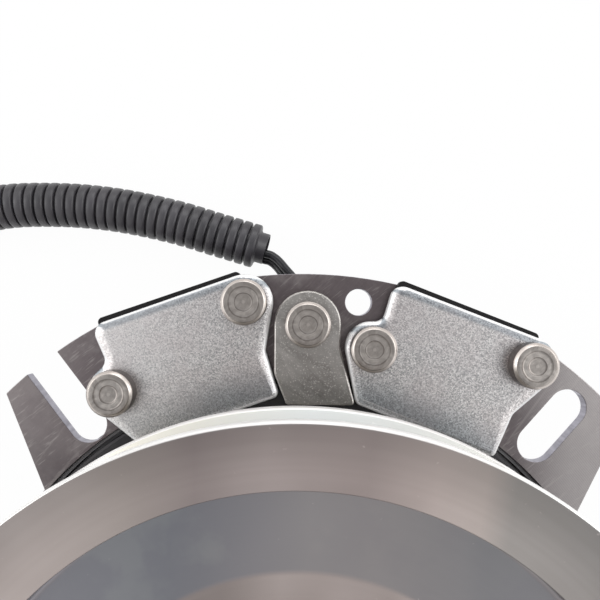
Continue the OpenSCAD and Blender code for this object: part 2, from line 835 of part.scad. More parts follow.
// Hub and slotted rotor disc are turned from one piece
module rotor_hub() {
    color("gray")
        difference() {
            union() {
                cylinder(r = hub_r, h = hub_len);
                translate([0, 0, rotor_z - rotor_boss_h])
                    cylinder(r = pitch_r(field_bearing_od) - land(field_ball_d), h = rotor_boss_h);
                translate([0, 0, rotor_z]) cylinder(r = friction_r, h = rotor_t);
            }
            translate([0, 0, -cut]) cylinder(d = crank_bore_d, h = hub_len + 2 * cut);
            translate([-keyway_w / 2, 0, -cut])
                cube([keyway_w, crank_bore_d / 2 + keyway_depth, hub_len + 2 * cut]);
            ring(hub_r - ring_groove, hub_r + cut, hub_ring_inset, ring_t);
            ring(hub_r - ring_groove, hub_r + cut, front_ring_z, ring_t);
            ring(lining_id / 2, lining_od / 2, rotor_top - lining_t, lining_t + cut);
            arc_slots(outer_slot_r, rotor_z - cut, rotor_t + 2 * cut);
            arc_slots(inner_slot_r, rotor_z - cut, rotor_t + 2 * cut);
        }
}

module friction_ring() {
    color("saddlebrown") ring(lining_id / 2, lining_od / 2, rotor_top - lining_t, lining_t);
}

module spacer_collar() {
    color("silver") ring(hub_r, hub_r + collar_wall, rotor_top, pulley_bearing_z - rotor_top);
}

module hub_rear_ring() {
    color("darkgray") retaining_ring(hub_r - ring_groove, hub_r + ring_reach, hub_ring_inset, 40);
}

module hub_front_ring() {
    color("darkgray") retaining_ring(hub_r - ring_groove, hub_r + ring_reach, front_ring_z, 200);
}

module pulley_bore_ring() {
    color("darkgray")
        retaining_ring(pulley_bearing_r - ring_reach, pulley_bearing_r + ring_groove, front_ring_z, 120);
}

module drive_rivet_places() {
    for (i = [0:spring_n - 1])
        rotate([0, 0, i * 360 / spring_n]) translate([spring_pitch_r, 0, 0]) children();
}

module armature_rivet_places() {
    for (i = [0:spring_n - 1])
        rotate([0, 0, i * 360 / spring_n + spring_span])
            translate([spring_pitch_r, 0, 0]) children();
}

module pulley_hub() {
    color("rosybrown")
        difference() {
            union() {
                translate([0, 0, drive_flange_z])
                    cylinder(r = pulley_hub_r, h = pulley_hub_top - drive_flange_z);
                translate([0, 0, drive_flange_z])
                    cylinder(d = drive_flange_d, h = drive_flange_t);
                drive_rivet_places()
                    translate([0, 0, spring_top])
                        cylinder(d = drive_boss_d, h = drive_boss_h + drive_flange_t);
            }
            translate([0, 0, drive_flange_z - cut])
                cylinder(r = pulley_bearing_r - bearing_lip, h = pulley_hub_top);
            translate([0, 0, pulley_bearing_z])
                cylinder(r = pulley_bearing_r, h = pulley_hub_top);
            ring(pulley_bearing_r - cut, pulley_bearing_r + ring_groove, front_ring_z, ring_t);
            drive_rivet_places()
                translate([0, 0, spring_top - cut])
                    cylinder(d = drive_rivet_d, h = drive_boss_h + drive_flange_t + 2 * cut);
        }
}

// Front shell: flange, groove wall, flat web and cone down to the hub
module pulley_front_half() {
    color("rosybrown")
        rotate_extrude()
            polygon([
                [pulley_r, front_rim_z],
                [pulley_r, front_rim_z + pulley_sheet],
                [groove_r, groove_z + groove_half_bottom + pulley_sheet],
                [groove_r - groove_wall, groove_z + groove_half_bottom + pulley_sheet - inner_lip_drop],
                [groove_r - groove_wall, web_front_z],
                [web_cone_r, web_front_z],
                [pulley_hub_r, web_front_z - web_cone_drop],
                [pulley_hub_r, web_mid_z - web_cone_drop],
                [web_cone_r, web_mid_z],
                [groove_r, web_mid_z],
                [groove_r, groove_z + groove_half_bottom]
            ]);
}

// Rear shell: flange and web, nested around the front shell's groove wall
module pulley_rear_half() {
    bend_r = groove_r + pulley_sheet;
    color("rosybrown")
        rotate_extrude()
            polygon([
                [rear_rim_r, rear_rim_z + flange_slope * rear_rim_inset],
                [groove_r, groove_z - groove_half_bottom],
                [groove_r, web_mid_z],
                [web_cone_r, web_mid_z],
                [pulley_hub_r, web_mid_z - web_cone_drop],
                [pulley_hub_r, web_rear_z - web_cone_drop],
                [web_cone_r, web_rear_z],
                [groove_r, web_rear_z],
                [bend_r, rear_rim_z - pulley_sheet + flange_slope * (pulley_r - bend_r)],
                [rear_rim_r, rear_rim_z - pulley_sheet + flange_slope * rear_rim_inset]
            ]);
}

// Each leaf spring is a straight strip from a drive rivet to an armature rivet
hole_play = 0.3;
module drive_springs() {
    chord = 2 * spring_pitch_r * sin(spring_span / 2);
    color("lightgray")
        difference() {
            for (i = [0:spring_n - 1])
                rotate([0, 0, i * 360 / spring_n])
                    translate([spring_pitch_r, 0, armature_top])
                        rotate([0, 0, 90 + spring_span / 2]) {
                            cylinder(d = spring_w, h = spring_t);
                            translate([0, -spring_w / 2, 0]) cube([chord, spring_w, spring_t]);
                            translate([chord, 0, 0]) cylinder(d = spring_w, h = spring_t);
                        }
            drive_rivet_places()
                translate([0, 0, armature_top - cut])
                    cylinder(d = drive_rivet_d, h = spring_t + 2 * cut);
            armature_rivet_places()
                translate([0, 0, armature_top - cut])
                    cylinder(d = armature_rivet_d + 2 * hole_play, h = spring_t + 2 * cut);
        }
}

module spring_rivets() {
    shank_top = drive_flange_z + drive_flange_t;
    color("silver")
        drive_rivet_places() {
            translate([0, 0, armature_top]) cylinder(d = drive_rivet_d, h = shank_top - armature_top);
            translate([0, 0, armature_top - spring_rivet_head_h])
                cylinder(d = spring_rivet_head_d, h = spring_rivet_head_h);
            translate([0, 0, shank_top]) cylinder(d = spring_rivet_head_d, h = spring_rivet_head_h);
        }
}

// Space around the drive rivets' heads, so that the armature slides past them
head_play = 1.2;
module armature() {
    color("darkslategray")
        difference() {
            rotate_extrude()
                polygon([
                    [armature_id / 2, armature_z],
                    [friction_r, armature_z],
                    [friction_r, armature_top - armature_chamfer],
                    [friction_r - armature_chamfer, armature_top],
                    [armature_id / 2, armature_top]
                ]);
            arc_slots(outer_slot_r, armature_z - cut, armature_t + 2 * cut);
            drive_rivet_places()
                translate([0, 0, armature_z - cut])
                    cylinder(d = spring_rivet_head_d + 2 * head_play, h = armature_t + 2 * cut);
            armature_rivet_places()
                translate([0, 0, armature_z - cut])
                    cylinder(d = armature_rivet_d, h = armature_t + 2 * cut);
        }
}

// The rivets stay just short of the friction face
tail_inset = 0.3;
module armature_rivets() {
    color("silver")
        armature_rivet_places() {
            translate([0, 0, armature_z + tail_inset])
                cylinder(d = armature_rivet_d, h = spring_top - armature_z - tail_inset);
            translate([0, 0, spring_top]) cylinder(d = spring_rivet_head_d, h = spring_rivet_head_h);
        }
}

field_shell();
coil_bobbin();
coil_winding();
potting_resin();
field_bearing("outer");  // field_bearing_outer
field_bearing("balls");  // field_bearing_balls
field_bearing("inner");  // field_bearing_inner
field_bearing("seals");  // field_bearing_seals
mounting_bracket();
magnet_holder(1);  // magnet_holder_left
magnet_holder(-1);  // magnet_holder_right
brake_magnets();
brake_plate(1);  // brake_plate_left
brake_plate(-1);  // brake_plate_right
brake_studs(1);  // brake_studs_left
brake_studs(-1);  // brake_studs_right
centre_tab();
tab_spacer();
tab_stud();
lead_grommet();
lead_wire(wire_a_route);  // lead_wire_a
lead_wire(wire_b_route);  // lead_wire_b
lead_conduit();
connector_housing();
connector_seal();
connector_terminals();
rotor_hub();
friction_ring();
spacer_collar();
hub_rear_ring();
hub_front_ring();
pulley_bearing("inner");  // pulley_bearing_inner
pulley_bearing("outer");  // pulley_bearing_outer
pulley_bearing("balls");  // pulley_bearing_balls
pulley_bearing("seals");  // pulley_bearing_seals
pulley_bore_ring();
pulley_hub();
pulley_front_half();
pulley_rear_half();
drive_springs();
spring_rivets();
armature();
armature_rivets();
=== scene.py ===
"""Looks of an electric power take-off clutch with a permanent-magnet brake.

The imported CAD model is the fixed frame. Formed, turned and cut pieces that the photograph shows
get a finished mesh of their own. The other CAD nodes keep their shape and get a finish.
Sizes in the assemblies are millimetres, and meshes are scaled to metres when they are mounted.
Sizes in the finishes are metres, as Object coordinates are.
"""

from __future__ import annotations

import logging
import math
from dataclasses import dataclass, field
from enum import Enum
from typing import Iterable, Sequence

import bmesh
import bpy
from mathutils import Matrix, Vector

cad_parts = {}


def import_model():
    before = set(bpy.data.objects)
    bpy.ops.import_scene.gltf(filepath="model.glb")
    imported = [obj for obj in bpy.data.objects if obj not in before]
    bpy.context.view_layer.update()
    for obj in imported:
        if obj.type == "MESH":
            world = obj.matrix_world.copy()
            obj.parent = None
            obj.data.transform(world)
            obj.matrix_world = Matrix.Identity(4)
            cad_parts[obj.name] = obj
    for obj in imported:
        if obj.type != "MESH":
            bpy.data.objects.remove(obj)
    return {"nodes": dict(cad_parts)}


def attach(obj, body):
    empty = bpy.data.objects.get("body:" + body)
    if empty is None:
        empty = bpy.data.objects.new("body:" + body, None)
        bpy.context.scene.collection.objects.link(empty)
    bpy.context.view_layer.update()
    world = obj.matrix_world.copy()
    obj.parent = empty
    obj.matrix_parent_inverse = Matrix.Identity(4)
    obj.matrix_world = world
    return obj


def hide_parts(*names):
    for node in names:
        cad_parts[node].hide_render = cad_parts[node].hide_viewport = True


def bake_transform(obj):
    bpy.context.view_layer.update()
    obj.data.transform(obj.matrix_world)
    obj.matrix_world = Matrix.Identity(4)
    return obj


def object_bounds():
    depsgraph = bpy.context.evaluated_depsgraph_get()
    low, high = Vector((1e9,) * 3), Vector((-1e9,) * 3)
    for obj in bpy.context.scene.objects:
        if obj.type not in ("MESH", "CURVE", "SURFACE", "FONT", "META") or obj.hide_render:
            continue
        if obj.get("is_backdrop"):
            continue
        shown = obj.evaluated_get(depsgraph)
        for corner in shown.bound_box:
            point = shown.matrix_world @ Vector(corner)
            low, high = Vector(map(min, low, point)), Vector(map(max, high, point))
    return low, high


LOG = logging.getLogger("clutch")
MM = 0.001
MERGE = 0.0005  # distance at which vertices are one, in millimetres
WAVE = 0.314  # length of one band of the wave texture at scale 1
ACROSS = 6.25  # one over the width of the pulley's pattern
WHITE = (1.0, 1.0, 1.0, 1.0)
BLACK = (0.0, 0.0, 0.0, 1.0)

Colour = tuple[float, float, float, float]
Point = tuple[float, float, float]
Socket = bpy.types.NodeSocket
Mesh = bmesh.types.BMesh


class Body(Enum):
    """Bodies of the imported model."""

    FIELD = "field"
    ROTOR = "rotor"
    PULLEY = "pulley"
    ARMATURE = "armature"


class Side(Enum):
    """The two brake plates, by the way each is turned from the middle line."""

    LEFT = 1
    RIGHT = -1


def tint(red: float, green: float, blue: float) -> Colour:
    """Linear colour that a shader takes, from a display colour's levels of 0 to 255."""
    shares = (value / 255 for value in (red, green, blue))
    return (*(s / 12.92 if s <= 0.04045 else ((s + 0.055) / 1.055) ** 2.4 for s in shares), 1.0)


class ShaderGraph:
    """Node tree of a finish, of the table or of the surroundings."""

    def __init__(self, owner: bpy.types.Material | bpy.types.World) -> None:
        """Take over a node tree.

        Args:
            owner: the material or world that it belongs to.
        """
        owner.use_nodes = True
        self.nodes, self.links = owner.node_tree.nodes, owner.node_tree.links
        self.shader = self.nodes.get("Principled BSDF")

    def add(self, kind: str, inputs: dict | None = None, **settings: object) -> bpy.types.Node:
        """Add a node.

        Args:
            kind: Blender's name of the node type, without ShaderNode.
            inputs: values or sockets for its inputs, by name or index.
            settings: properties of the node.

        Returns:
            The new node.
        """
        node = self.nodes.new("ShaderNode" + kind)
        for name, value in settings.items():
            setattr(node, name, value)
        for key, value in (inputs or {}).items():
            self.feed(node.inputs[key], value)
        return node

    def feed(self, socket: Socket, value: object) -> None:
        """Link a socket to another one, or set its own value.

        Args:
            socket: the input to fill.
            value: an output socket, a number or a colour.
        """
        if isinstance(value, Socket):
            self.links.new(value, socket)
        else:
            socket.default_value = value

    def surface(self, **inputs: object) -> None:
        """Fill inputs of the Principled shader, named with _ for a space."""
        for name, value in inputs.items():
            self.feed(self.shader.inputs[name.replace("_", " ")], value)

    def place(self, scale: Point = (1, 1, 1), turn: float = 0, shift: Point = (0, 0, 0), uv: bool = False) -> Socket:
        """Coordinates that a pattern reads.

        Args:
            scale: how densely the pattern lies along each of its own axes, 0 to leave an axis out.
            turn: turn of the pattern around Z in degrees.
            shift: place of the pattern's middle.
            uv: read the piece's own map in place of its Object coordinates.

        Returns:
            The mapped coordinates.
        """
        source = self.add("TexCoord").outputs["UV" if uv else "Object"]
        return self.add("Mapping", {
            "Vector": source, "Scale": tuple(1 / s if s else 0 for s in scale),
            "Rotation": (0, 0, math.radians(turn)), "Location": shift}, vector_type="TEXTURE").outputs["Vector"]

    def lines(self, pitch: float, turn: float) -> Socket:
        """Height from 0 to 1 of parallel lines, by their distance and their direction in degrees."""
        return self.add("TexWave", {"Vector": self.place(turn=turn), "Scale": WAVE / pitch, "Distortion": 1.5,
                                    "Detail": 2.0, "Detail Scale": 0.3}, bands_direction="Y").outputs[1]

    def grain(self, where: Socket, scale: float, detail: float = 2, weight: float = 0.5, warp: float = 0) -> Socket:
        """Cloudy noise from 0 to 1, by grains per metre, finer layers, their weight and how far it is bent."""
        return self.add("TexNoise", {"Vector": where, "Scale": scale, "Detail": detail, "Roughness": weight,
                                     "Distortion": warp}).outputs[0]

    def cells(self, where: Socket, scale: float) -> Socket:
        """Crystal cells, each with a colour of its own."""
        return self.add("TexVoronoi", {"Vector": where, "Scale": scale}).outputs["Color"]

    def chance(self, where: Socket, scale: float) -> Socket:
        """Level of each crystal from 0 to 1, the same all over it."""
        return self.add("SeparateColor", {0: self.cells(where, scale)}).outputs[0]

    def axis(self, name: str, where: Socket | None = None) -> Socket:
        """X, Y or Z of the Object coordinates, or of other ones."""
        return self.add("SeparateXYZ", {0: where or self.place()}).outputs[name]

    def across(self) -> Socket:
        """Place across the pulley, 0 to 1."""
        return self.math("MULTIPLY_ADD", self.axis("X"), ACROSS, 0.5)

    def normal(self) -> Socket:
        """Direction in which the surface faces."""
        return self.add("NewGeometry").outputs["Normal"]

    def lean(self, flat: float, steep: float) -> Socket:
        """Share from 0 to 1 by which a surface leans, by its normal's Z at both ends."""
        return self.spread(self.axis("Z", self.normal()), flat, steep)

    def length(self, vector: Socket) -> Socket:
        """Length of a vector."""
        return self.add("VectorMath", {0: vector}, operation="LENGTH").outputs["Value"]

    def radius(self, uv: bool = False) -> Socket:
        """Distance from the main axis, or from the origin of the piece's own map."""
        return self.length(self.place(scale=(1, 1, 0), uv=uv))

    def tool_marks(self, radius: Socket, scale: float) -> Socket:
        """Height from 0 to 1 of the irregular rings that a cutting tool leaves."""
        return self.add("TexNoise", {"W": radius, "Scale": scale, "Detail": 3}, noise_dimensions="1D").outputs[0]

    def ramp(self, factor: Socket, *stops: tuple[float, Sequence[float] | float]) -> Socket:
        """Colour ramp.

        Args:
            factor: value from 0 to 1.
            stops: place and linear colour, or place and grey level, of each stop.

        Returns:
            The colour.
        """
        node = self.add("ValToRGB", {"Fac": factor})
        band = node.color_ramp
        while len(band.elements) < len(stops):
            band.elements.new(1.0)
        for element, (where, colour) in zip(band.elements, stops):
            element.position = where
            element.color = (*colour, 1)[:4] if isinstance(colour, tuple) else (colour, colour, colour, 1)
        return node.outputs["Color"]

    def tones(self, factor: Socket, *stops: tuple[float, float, float, float]) -> Socket:
        """Colour ramp whose stops are a place and a display colour."""
        return self.ramp(factor, *((where, tint(*colour)) for where, *colour in stops))

    def spread(self, value: Socket, low: float, high: float, start: float = 0.0, end: float = 1.0) -> Socket:
        """Smooth step from a start level where the value is low to an end level where it is high."""
        return self.add("MapRange", {"Value": value, "From Min": low, "From Max": high, "To Min": start,
                                     "To Max": end}, interpolation_type="SMOOTHSTEP").outputs["Result"]

    def mix(self, factor: Socket | float, first: object, second: object, kind: str = "MIX") -> Socket:
        """Mix of two colours, by the share of the second."""
        return self.add("Mix", {0: factor, 6: first, 7: second}, data_type="RGBA", blend_type=kind).outputs[2]

    def tinted(self, first: object, second: object) -> Socket:
        """One colour multiplied by another."""
        return self.mix(1.0, first, second, "MULTIPLY")

    def math(self, operation: str, *values: object) -> Socket:
        """Arithmetic on one to three values."""
        return self.add("Math", dict(enumerate(values)), operation=operation).outputs[0]

    def times(self, first: Socket | float, second: Socket | float) -> Socket:
        """Product of two values."""
        return self.math("MULTIPLY", first, second)

    def rest(self, share: Socket) -> Socket:
        """What a share leaves of the whole."""
        return self.math("SUBTRACT", 1.0, share)

    def weigh(self, first: Socket, second: Socket, share: float = 0.45) -> Socket:
        """Two levels added, by the share of the first."""
        return self.math("ADD", self.times(first, share), self.times(second, 1 - share))

    def relief(self, *layers: tuple[Socket, float, float]) -> None:
        """Bumps on the surface, one over the other.

        Args:
            layers: height, its depth in metres, and its strength.
        """
        below: dict[str, Socket] = {}
        for height, depth, strength in layers:
            bump = self.add("Bump", {"Height": height, "Distance": depth, "Strength": strength, **below})
            below = {"Normal": bump.outputs["Normal"]}
        self.surface(**below)


@dataclass(frozen=True)
class Finish:
    """A surface finish with a name."""

    name: str

    def paint(self, graph: ShaderGraph) -> None:
        """Fill the node tree of the finish."""
        raise NotImplementedError

    def material(self) -> bpy.types.Material:
        """The finish as a material, made once, beside the frame's plain one of the same slot.

        Returns:
            The material.
        """
        name = self.name + "_finish"
        found = bpy.data.materials.get(name)
        if found is None:
            found = bpy.data.materials.new(name)
            self.paint(ShaderGraph(found))
        return found


@dataclass(frozen=True)
class SpunSteel(Finish):
    """Bare steel turned or spun around the main axis."""

    dark: Colour
    light: Colour
    smooth: float
    rough: float
    marks: float
    depth: float
    stain: float = 26
    metal: float = 1.0

    def body(self, graph: ShaderGraph, stains: Socket, rings: Socket) -> Socket:
        """Colour of the steel under its specks."""
        stained = graph.ramp(stains, (0.34, self.dark), (0.66, self.light))
        return graph.mix(graph.spread(rings, 0.25, 0.75, 0, 0.16), stained, self.dark)

    def luster(self, graph: ShaderGraph) -> Socket | float:
        """Share of bare metal on the surface."""
        return self.metal

    def paint(self, graph: ShaderGraph) -> None:
        """Steel with fine rings, soft stains and a few specks.

        Args:
            graph: the node tree that it fills.
        """
        where = graph.place()
        rings = graph.tool_marks(graph.radius(), self.marks)
        stains = graph.grain(where, self.stain, 3, 0.55)
        pores = graph.grain(where, 1500)
        specks = graph.spread(graph.grain(where, 800, 1), 0.76, 0.82, 0, 0.35)
        graph.surface(Base_Color=graph.mix(specks, self.body(graph, stains, rings), self.light),
                      Metallic=self.luster(graph), Roughness=graph.spread(stains, 0.25, 0.75, self.rough, self.smooth))
        graph.relief((rings, self.depth, 0.5), (pores, 0.000003, 0.25))


@dataclass(frozen=True)
class PressedShell(SpunSteel):
    """Spun steel of the pulley: hazy bands of painted reflection, a bluish web and a painted highlight on its lip."""

    # painted highlight: the lip's colour stands in for light on its rounded edge
    lip: Colour = tint(250, 249, 247)
    lip_r: float = 0.07905
    web: Colour = tint(186, 185, 189)
    haze: Colour = tint(208, 208, 205)
    web_r: float = 0.0663
    cone_r: float = 0.0486

    def body(self, graph: ShaderGraph, stains: Socket, rings: Socket) -> Socket:
        """Stained steel with painted reflection in lighter bands on its flange and cone, a painted highlight on the
        cone, painted shade towards the rim, a hazy web tinted by painted reflection, and the lip.

        Args:
            graph: the node tree.
            stains: level of the soft stains.
            rings: height of the fine rings.

        Returns:
            The colour under the specks.
        """
        level, radius = graph.across(), graph.radius()
        # painted reflection: lighter and darker bands across the pulley
        bands = graph.tones(level, (0.2, 255, 255, 255), (0.3, 230, 230, 229), (0.375, 201, 198, 200),
                            (0.45, 219, 216, 217), (0.56, 221, 217, 218), (0.63, 250, 247, 246),
                            (0.68, 247, 246, 244), (0.71, 217, 222, 222), (0.9, 213, 219, 221))
        # painted highlight in the middle of the inner cone
        glow = graph.tones(level, (0.4, 220, 220, 220), (0.47, 255, 255, 255), (0.54, 255, 255, 255),
                           (0.6, 236, 236, 236))
        outer = graph.spread(radius, self.cone_r - 0.001, self.cone_r + 0.001)
        wear_and_sheen = graph.mix(outer, graph.mix(0.55, glow, bands, "MULTIPLY"), bands)
        # painted shade: darker towards the outer rim of the flange
        flange = graph.mix(graph.spread(radius, 0.068, 0.079, 0, 0.22), wear_and_sheen, BLACK)
        clouds = graph.spread(graph.grain(graph.place(shift=(0.3, 0, 0)), 55, 4, 0.55), 0.5, 0.62, 0, 0.5)
        hazy = graph.times(graph.spread(graph.axis("X"), 0.01, -0.02, 0.3, 1), clouds)
        # painted reflection across the web, brightest in the middle
        web_sheen = graph.tones(level, (0.2, 204, 208, 215), (0.34, 203, 208, 214), (0.44, 236, 234, 234),
                             (0.5, 252, 248, 243), (0.58, 243, 238, 234), (0.64, 226, 223, 221), (0.7, 213, 212, 213))
        web = graph.tinted(graph.mix(hazy, self.web, self.haze), web_sheen)
        flat = graph.times(graph.spread(radius, self.web_r - 0.0004, self.web_r + 0.0002, 1, 0),
                           graph.spread(radius, self.cone_r - 0.0006, self.cone_r + 0.0006))
        lit = graph.tinted(super().body(graph, stains, rings), flange)
        return graph.mix(self.highlit_lip(graph), graph.mix(graph.times(flat, 0.85), lit, web), self.lip)

    def highlit_lip(self, graph: ShaderGraph) -> Socket:
        """Share of the lip, where its highlight is painted, 1 on it."""
        return graph.spread(graph.radius(), self.lip_r - 0.0003, self.lip_r + 0.0001)

    def luster(self, graph: ShaderGraph) -> Socket | float:
        """Bare metal, made partly matt on the lip so that its painted highlight stays white."""
        return graph.spread(self.highlit_lip(graph), 0, 1, self.metal, 0.35)


@dataclass(frozen=True)
class GrooveSteel(SpunSteel):
    """Scuffed steel of the belt groove with painted reflection, warmer on one side and greyer on the other, and a
    painted highlight on its lip.
    """

    lip: Colour = tint(254, 252, 250)
    lip_r: float = 0.07805

    def body(self, graph: ShaderGraph, stains: Socket, rings: Socket) -> Socket:
        """Steel with painted reflection that turns from cream over pale blue to grey, and a painted highlight on the
        lip.

        Args:
            graph: the node tree.
            stains: level of the soft stains.
            rings: height of the fine rings.

        Returns:
            The colour under the specks.
        """
        level = graph.across()
        # painted reflection: warmer on one side of the groove, greyer on the other
        turned = graph.tones(level, (0.2, 250, 246, 234), (0.36, 244, 243, 236), (0.5, 240, 244, 244),
                             (0.7, 222, 223, 220), (0.85, 206, 206, 203))
        wall = graph.tinted(super().body(graph, stains, rings), turned)
        # painted highlight on the lip
        return graph.mix(graph.spread(graph.radius(), self.lip_r, self.lip_r + 0.00015), wall, self.lip)


@dataclass(frozen=True)
class ZincFinish(Finish):
    """Bright zinc with a crystalline sparkle."""

    dark: Colour = tint(158, 157, 158)
    middle: Colour = tint(214, 210, 209)
    light: Colour = tint(255, 253, 251)
    cloud: Colour = tint(212, 198, 197)
    # painted highlight on the rolled edges
    edge: Colour = tint(252, 252, 252)
    shade: Colour = tint(178, 194, 206)
    # painted shade just inside the edges that lean towards +Y
    upper_edge_shade: Colour = tint(150, 160, 168)
    crystals: float = 3800
    foot: float = 0.0765
    foot_end: float = 0.0855

    def paint(self, graph: ShaderGraph) -> None:
        """Zinc whose small crystals each take the light their own way, with painted light towards the left, a painted
        highlight on its rolled edges and painted shade at its foot and just inside its edges that face +Y.

        Args:
            graph: the node tree that it fills.
        """
        where, across, normal = graph.place(), graph.axis("X"), graph.normal()
        crystals = graph.chance(where, self.crystals)
        flakes = graph.grain(where, self.crystals * 0.8, 3, 0.7)
        level = graph.weigh(crystals, flakes)
        body = graph.ramp(level, (0.28, self.dark), (0.52, self.middle), (0.76, self.light))
        # painted light: lighter towards the far left
        lightened_left = graph.mix(graph.spread(across, -0.015, -0.055, 0, 0.3), body, self.light)
        clouds = graph.spread(graph.grain(where, 70, 3), 0.35, 0.65, 0, 0.25)
        lean = graph.lean(0.96, 0.8)
        inner = graph.times(graph.spread(across, -0.036, -0.02, 0.3, 1), graph.math("MULTIPLY_ADD", lean, -0.7, 1.0))
        foot = graph.times(inner, graph.spread(graph.radius(), self.foot, self.foot_end, 0.5, 0))
        shaded = graph.mix(foot, graph.mix(clouds, lightened_left, self.cloud), self.shade, "MULTIPLY")
        # painted highlight on the rolled edges, weaker where the foot is shaded
        edge_highlit = graph.mix(graph.times(lean, graph.rest(foot)), shaded, self.edge)
        aside = graph.math("ABSOLUTE", graph.axis("X", normal))
        back = graph.math("MULTIPLY_ADD", aside, -0.6, graph.axis("Y", normal))
        # painted shade: a band just inside the edges that lean towards +Y
        band = graph.times(graph.spread(back, 0.0, 0.15, 0, 0.8), graph.spread(back, 0.42, 0.32))
        # sideways rolled edges half matt, so that their painted highlight shows under any light
        matt = graph.times(graph.spread(aside, 0.03, 0.2), graph.rest(band))
        graph.surface(Base_Color=graph.mix(band, edge_highlit, self.upper_edge_shade, "MULTIPLY"),
                      Metallic=graph.spread(matt, 0, 1, 1.0, 0.5), Roughness=graph.spread(level, 0.3, 0.7, 0.42, 0.34))
        graph.relief((flakes, 0.00003, 0.5), (crystals, 0.00001, 0.4))


@dataclass(frozen=True)
class RolledPlate(Finish):
    """Dark rolled plate with scratches and brushed hatching."""

    dark: Colour = tint(98, 90, 92)
    light: Colour = tint(128, 119, 120)
    # colour of the right arm: painted light together with real hatching
    hatch_and_light: Colour = tint(178, 173, 172)
    smear: Colour = tint(170, 164, 162)
    bare: Colour = tint(186, 180, 176)
    fine: Colour = tint(180, 174, 171)
    hatch_pitch: float = 0.00031
    rough: float = 0.4

    def paint(self, graph: ShaderGraph) -> None:
        """Brown-grey plate with soft bands, smudges, scratches, and a hatched arm that is paler with painted light.

        Args:
            graph: the node tree that it fills.
        """
        across = graph.axis("X")
        bands = graph.grain(graph.place(scale=(1, 0.25, 1), turn=70), 45)
        hatch = graph.lines(self.hatch_pitch, 33)
        brushed = graph.grain(graph.place(scale=(1, 0.06, 1), turn=-40), 1900, 2, 0.6)
        mottle = graph.grain(graph.place(), 900, 4, 0.65)
        smudge = graph.grain(graph.place(shift=(0.2, 0.1, 0)), 95, 4, 0.6)
        scratch = graph.grain(graph.place(scale=(1, 0.035, 1), turn=-35, shift=(0.4, 0.1, 0)), 620, 1)
        second = graph.grain(graph.place(scale=(1, 0.1, 1), turn=-50, shift=(0.1, 0.7, 0)), 1900, 2, 0.6)
        body = graph.ramp(bands, (0.34, self.dark), (0.66, self.light))
        grained = graph.mix(graph.spread(graph.times(mottle, brushed), 0.12, 0.4, 0, 0.4), body, self.dark)
        horn = graph.times(graph.spread(across, -0.05, -0.068, 0, 0.34), graph.spread(smudge, 0.3, 0.6, 0.5, 1))
        smears = graph.math("MAXIMUM", graph.spread(smudge, 0.52, 0.72, 0, 0.4), horn)
        # the right arm: real brushed hatching, lighter with painted light
        arm = graph.times(graph.spread(across, 0.046, 0.066), graph.spread(hatch, 0.2, 0.8, 0.5, 1))
        hatched = graph.mix(arm, graph.mix(smears, grained, self.smear), self.hatch_and_light)
        marked = graph.mix(graph.spread(scratch, 0.66, 0.76, 0, 0.2), hatched, self.bare)
        graph.surface(Base_Color=graph.mix(graph.spread(second, 0.56, 0.72, 0, 0.4), marked, self.fine),
                      Metallic=1.0, Roughness=graph.spread(mottle, 0.25, 0.75, self.rough - 0.07, self.rough + 0.08))
        graph.relief((brushed, 0.000008, 0.5), (mottle, 0.00001, 0.35))


@dataclass(frozen=True)
class CutEdge(Finish):
    """Wall of a punched or cut plate."""

    dark: Colour = tint(158, 156, 165)
    light: Colour = tint(174, 172, 182)

    def paint(self, graph: ShaderGraph) -> None:
        """Pale torn steel with streaks along the cut.

        Args:
            graph: the node tree that it fills.
        """
        streaks = graph.grain(graph.place(scale=(1, 1, 0.15)), 900, 3)
        graph.surface(Base_Color=graph.ramp(streaks, (0.3, self.dark), (0.7, self.light)), Metallic=1.0,
                      Roughness=graph.spread(streaks, 0.3, 0.7, 0.5, 0.36))
        graph.relief((streaks, 0.000008, 0.5))


@dataclass(frozen=True)
class TurnedFace(Finish):
    """Turned steel whose rings are centred by the piece's own map."""

    dark: Colour = tint(132, 125, 120)
    light: Colour = tint(198, 191, 185)
    # painted highlight on the chamfer
    bright: Colour = tint(216, 208, 202)
    # painted shade on the upright wall
    wall: Colour = tint(98, 89, 85)

    def paint(self, graph: ShaderGraph) -> None:
        """Warm grey steel with faint rings, smeared patches, a painted highlight on the chamfer and painted shade on
        the wall.

        Args:
            graph: the node tree that it fills.
        """
        chart, radius = graph.place(uv=True), graph.radius(uv=True)
        wobble = graph.math("MULTIPLY_ADD", graph.grain(chart, 1.6), 0.1, radius)
        fine = graph.tool_marks(wobble, 30)
        smear = graph.grain(chart, 2.4, 4, 0.6, 1.3)
        steps = graph.ramp(wobble, (0.05, 1.0), (0.16, 0.55), (0.4, 0.6), (0.43, 0.1), (0.48, 0.75), (0.66, 0.7),
                           (0.71, 0.15), (0.76, 0.6), (0.9, 0.5))
        body = graph.ramp(graph.weigh(steps, smear), (0.32, self.dark), (0.64, self.light))
        ringed = graph.mix(graph.spread(fine, 0.35, 0.7, 0, 0.25), body, self.dark)
        # painted highlight on the chamfer
        cut = graph.mix(graph.spread(radius, 0.875, 0.89), ringed, self.bright)
        # painted shade on the upright wall
        graph.surface(Base_Color=graph.mix(graph.lean(0.3, 0.12), cut, self.wall), Metallic=1.0,
                      Roughness=graph.spread(smear, 0.3, 0.7, 0.28, 0.36))
        graph.relief((fine, 0.000003, 0.4), (smear, 0.00003, 0.2))


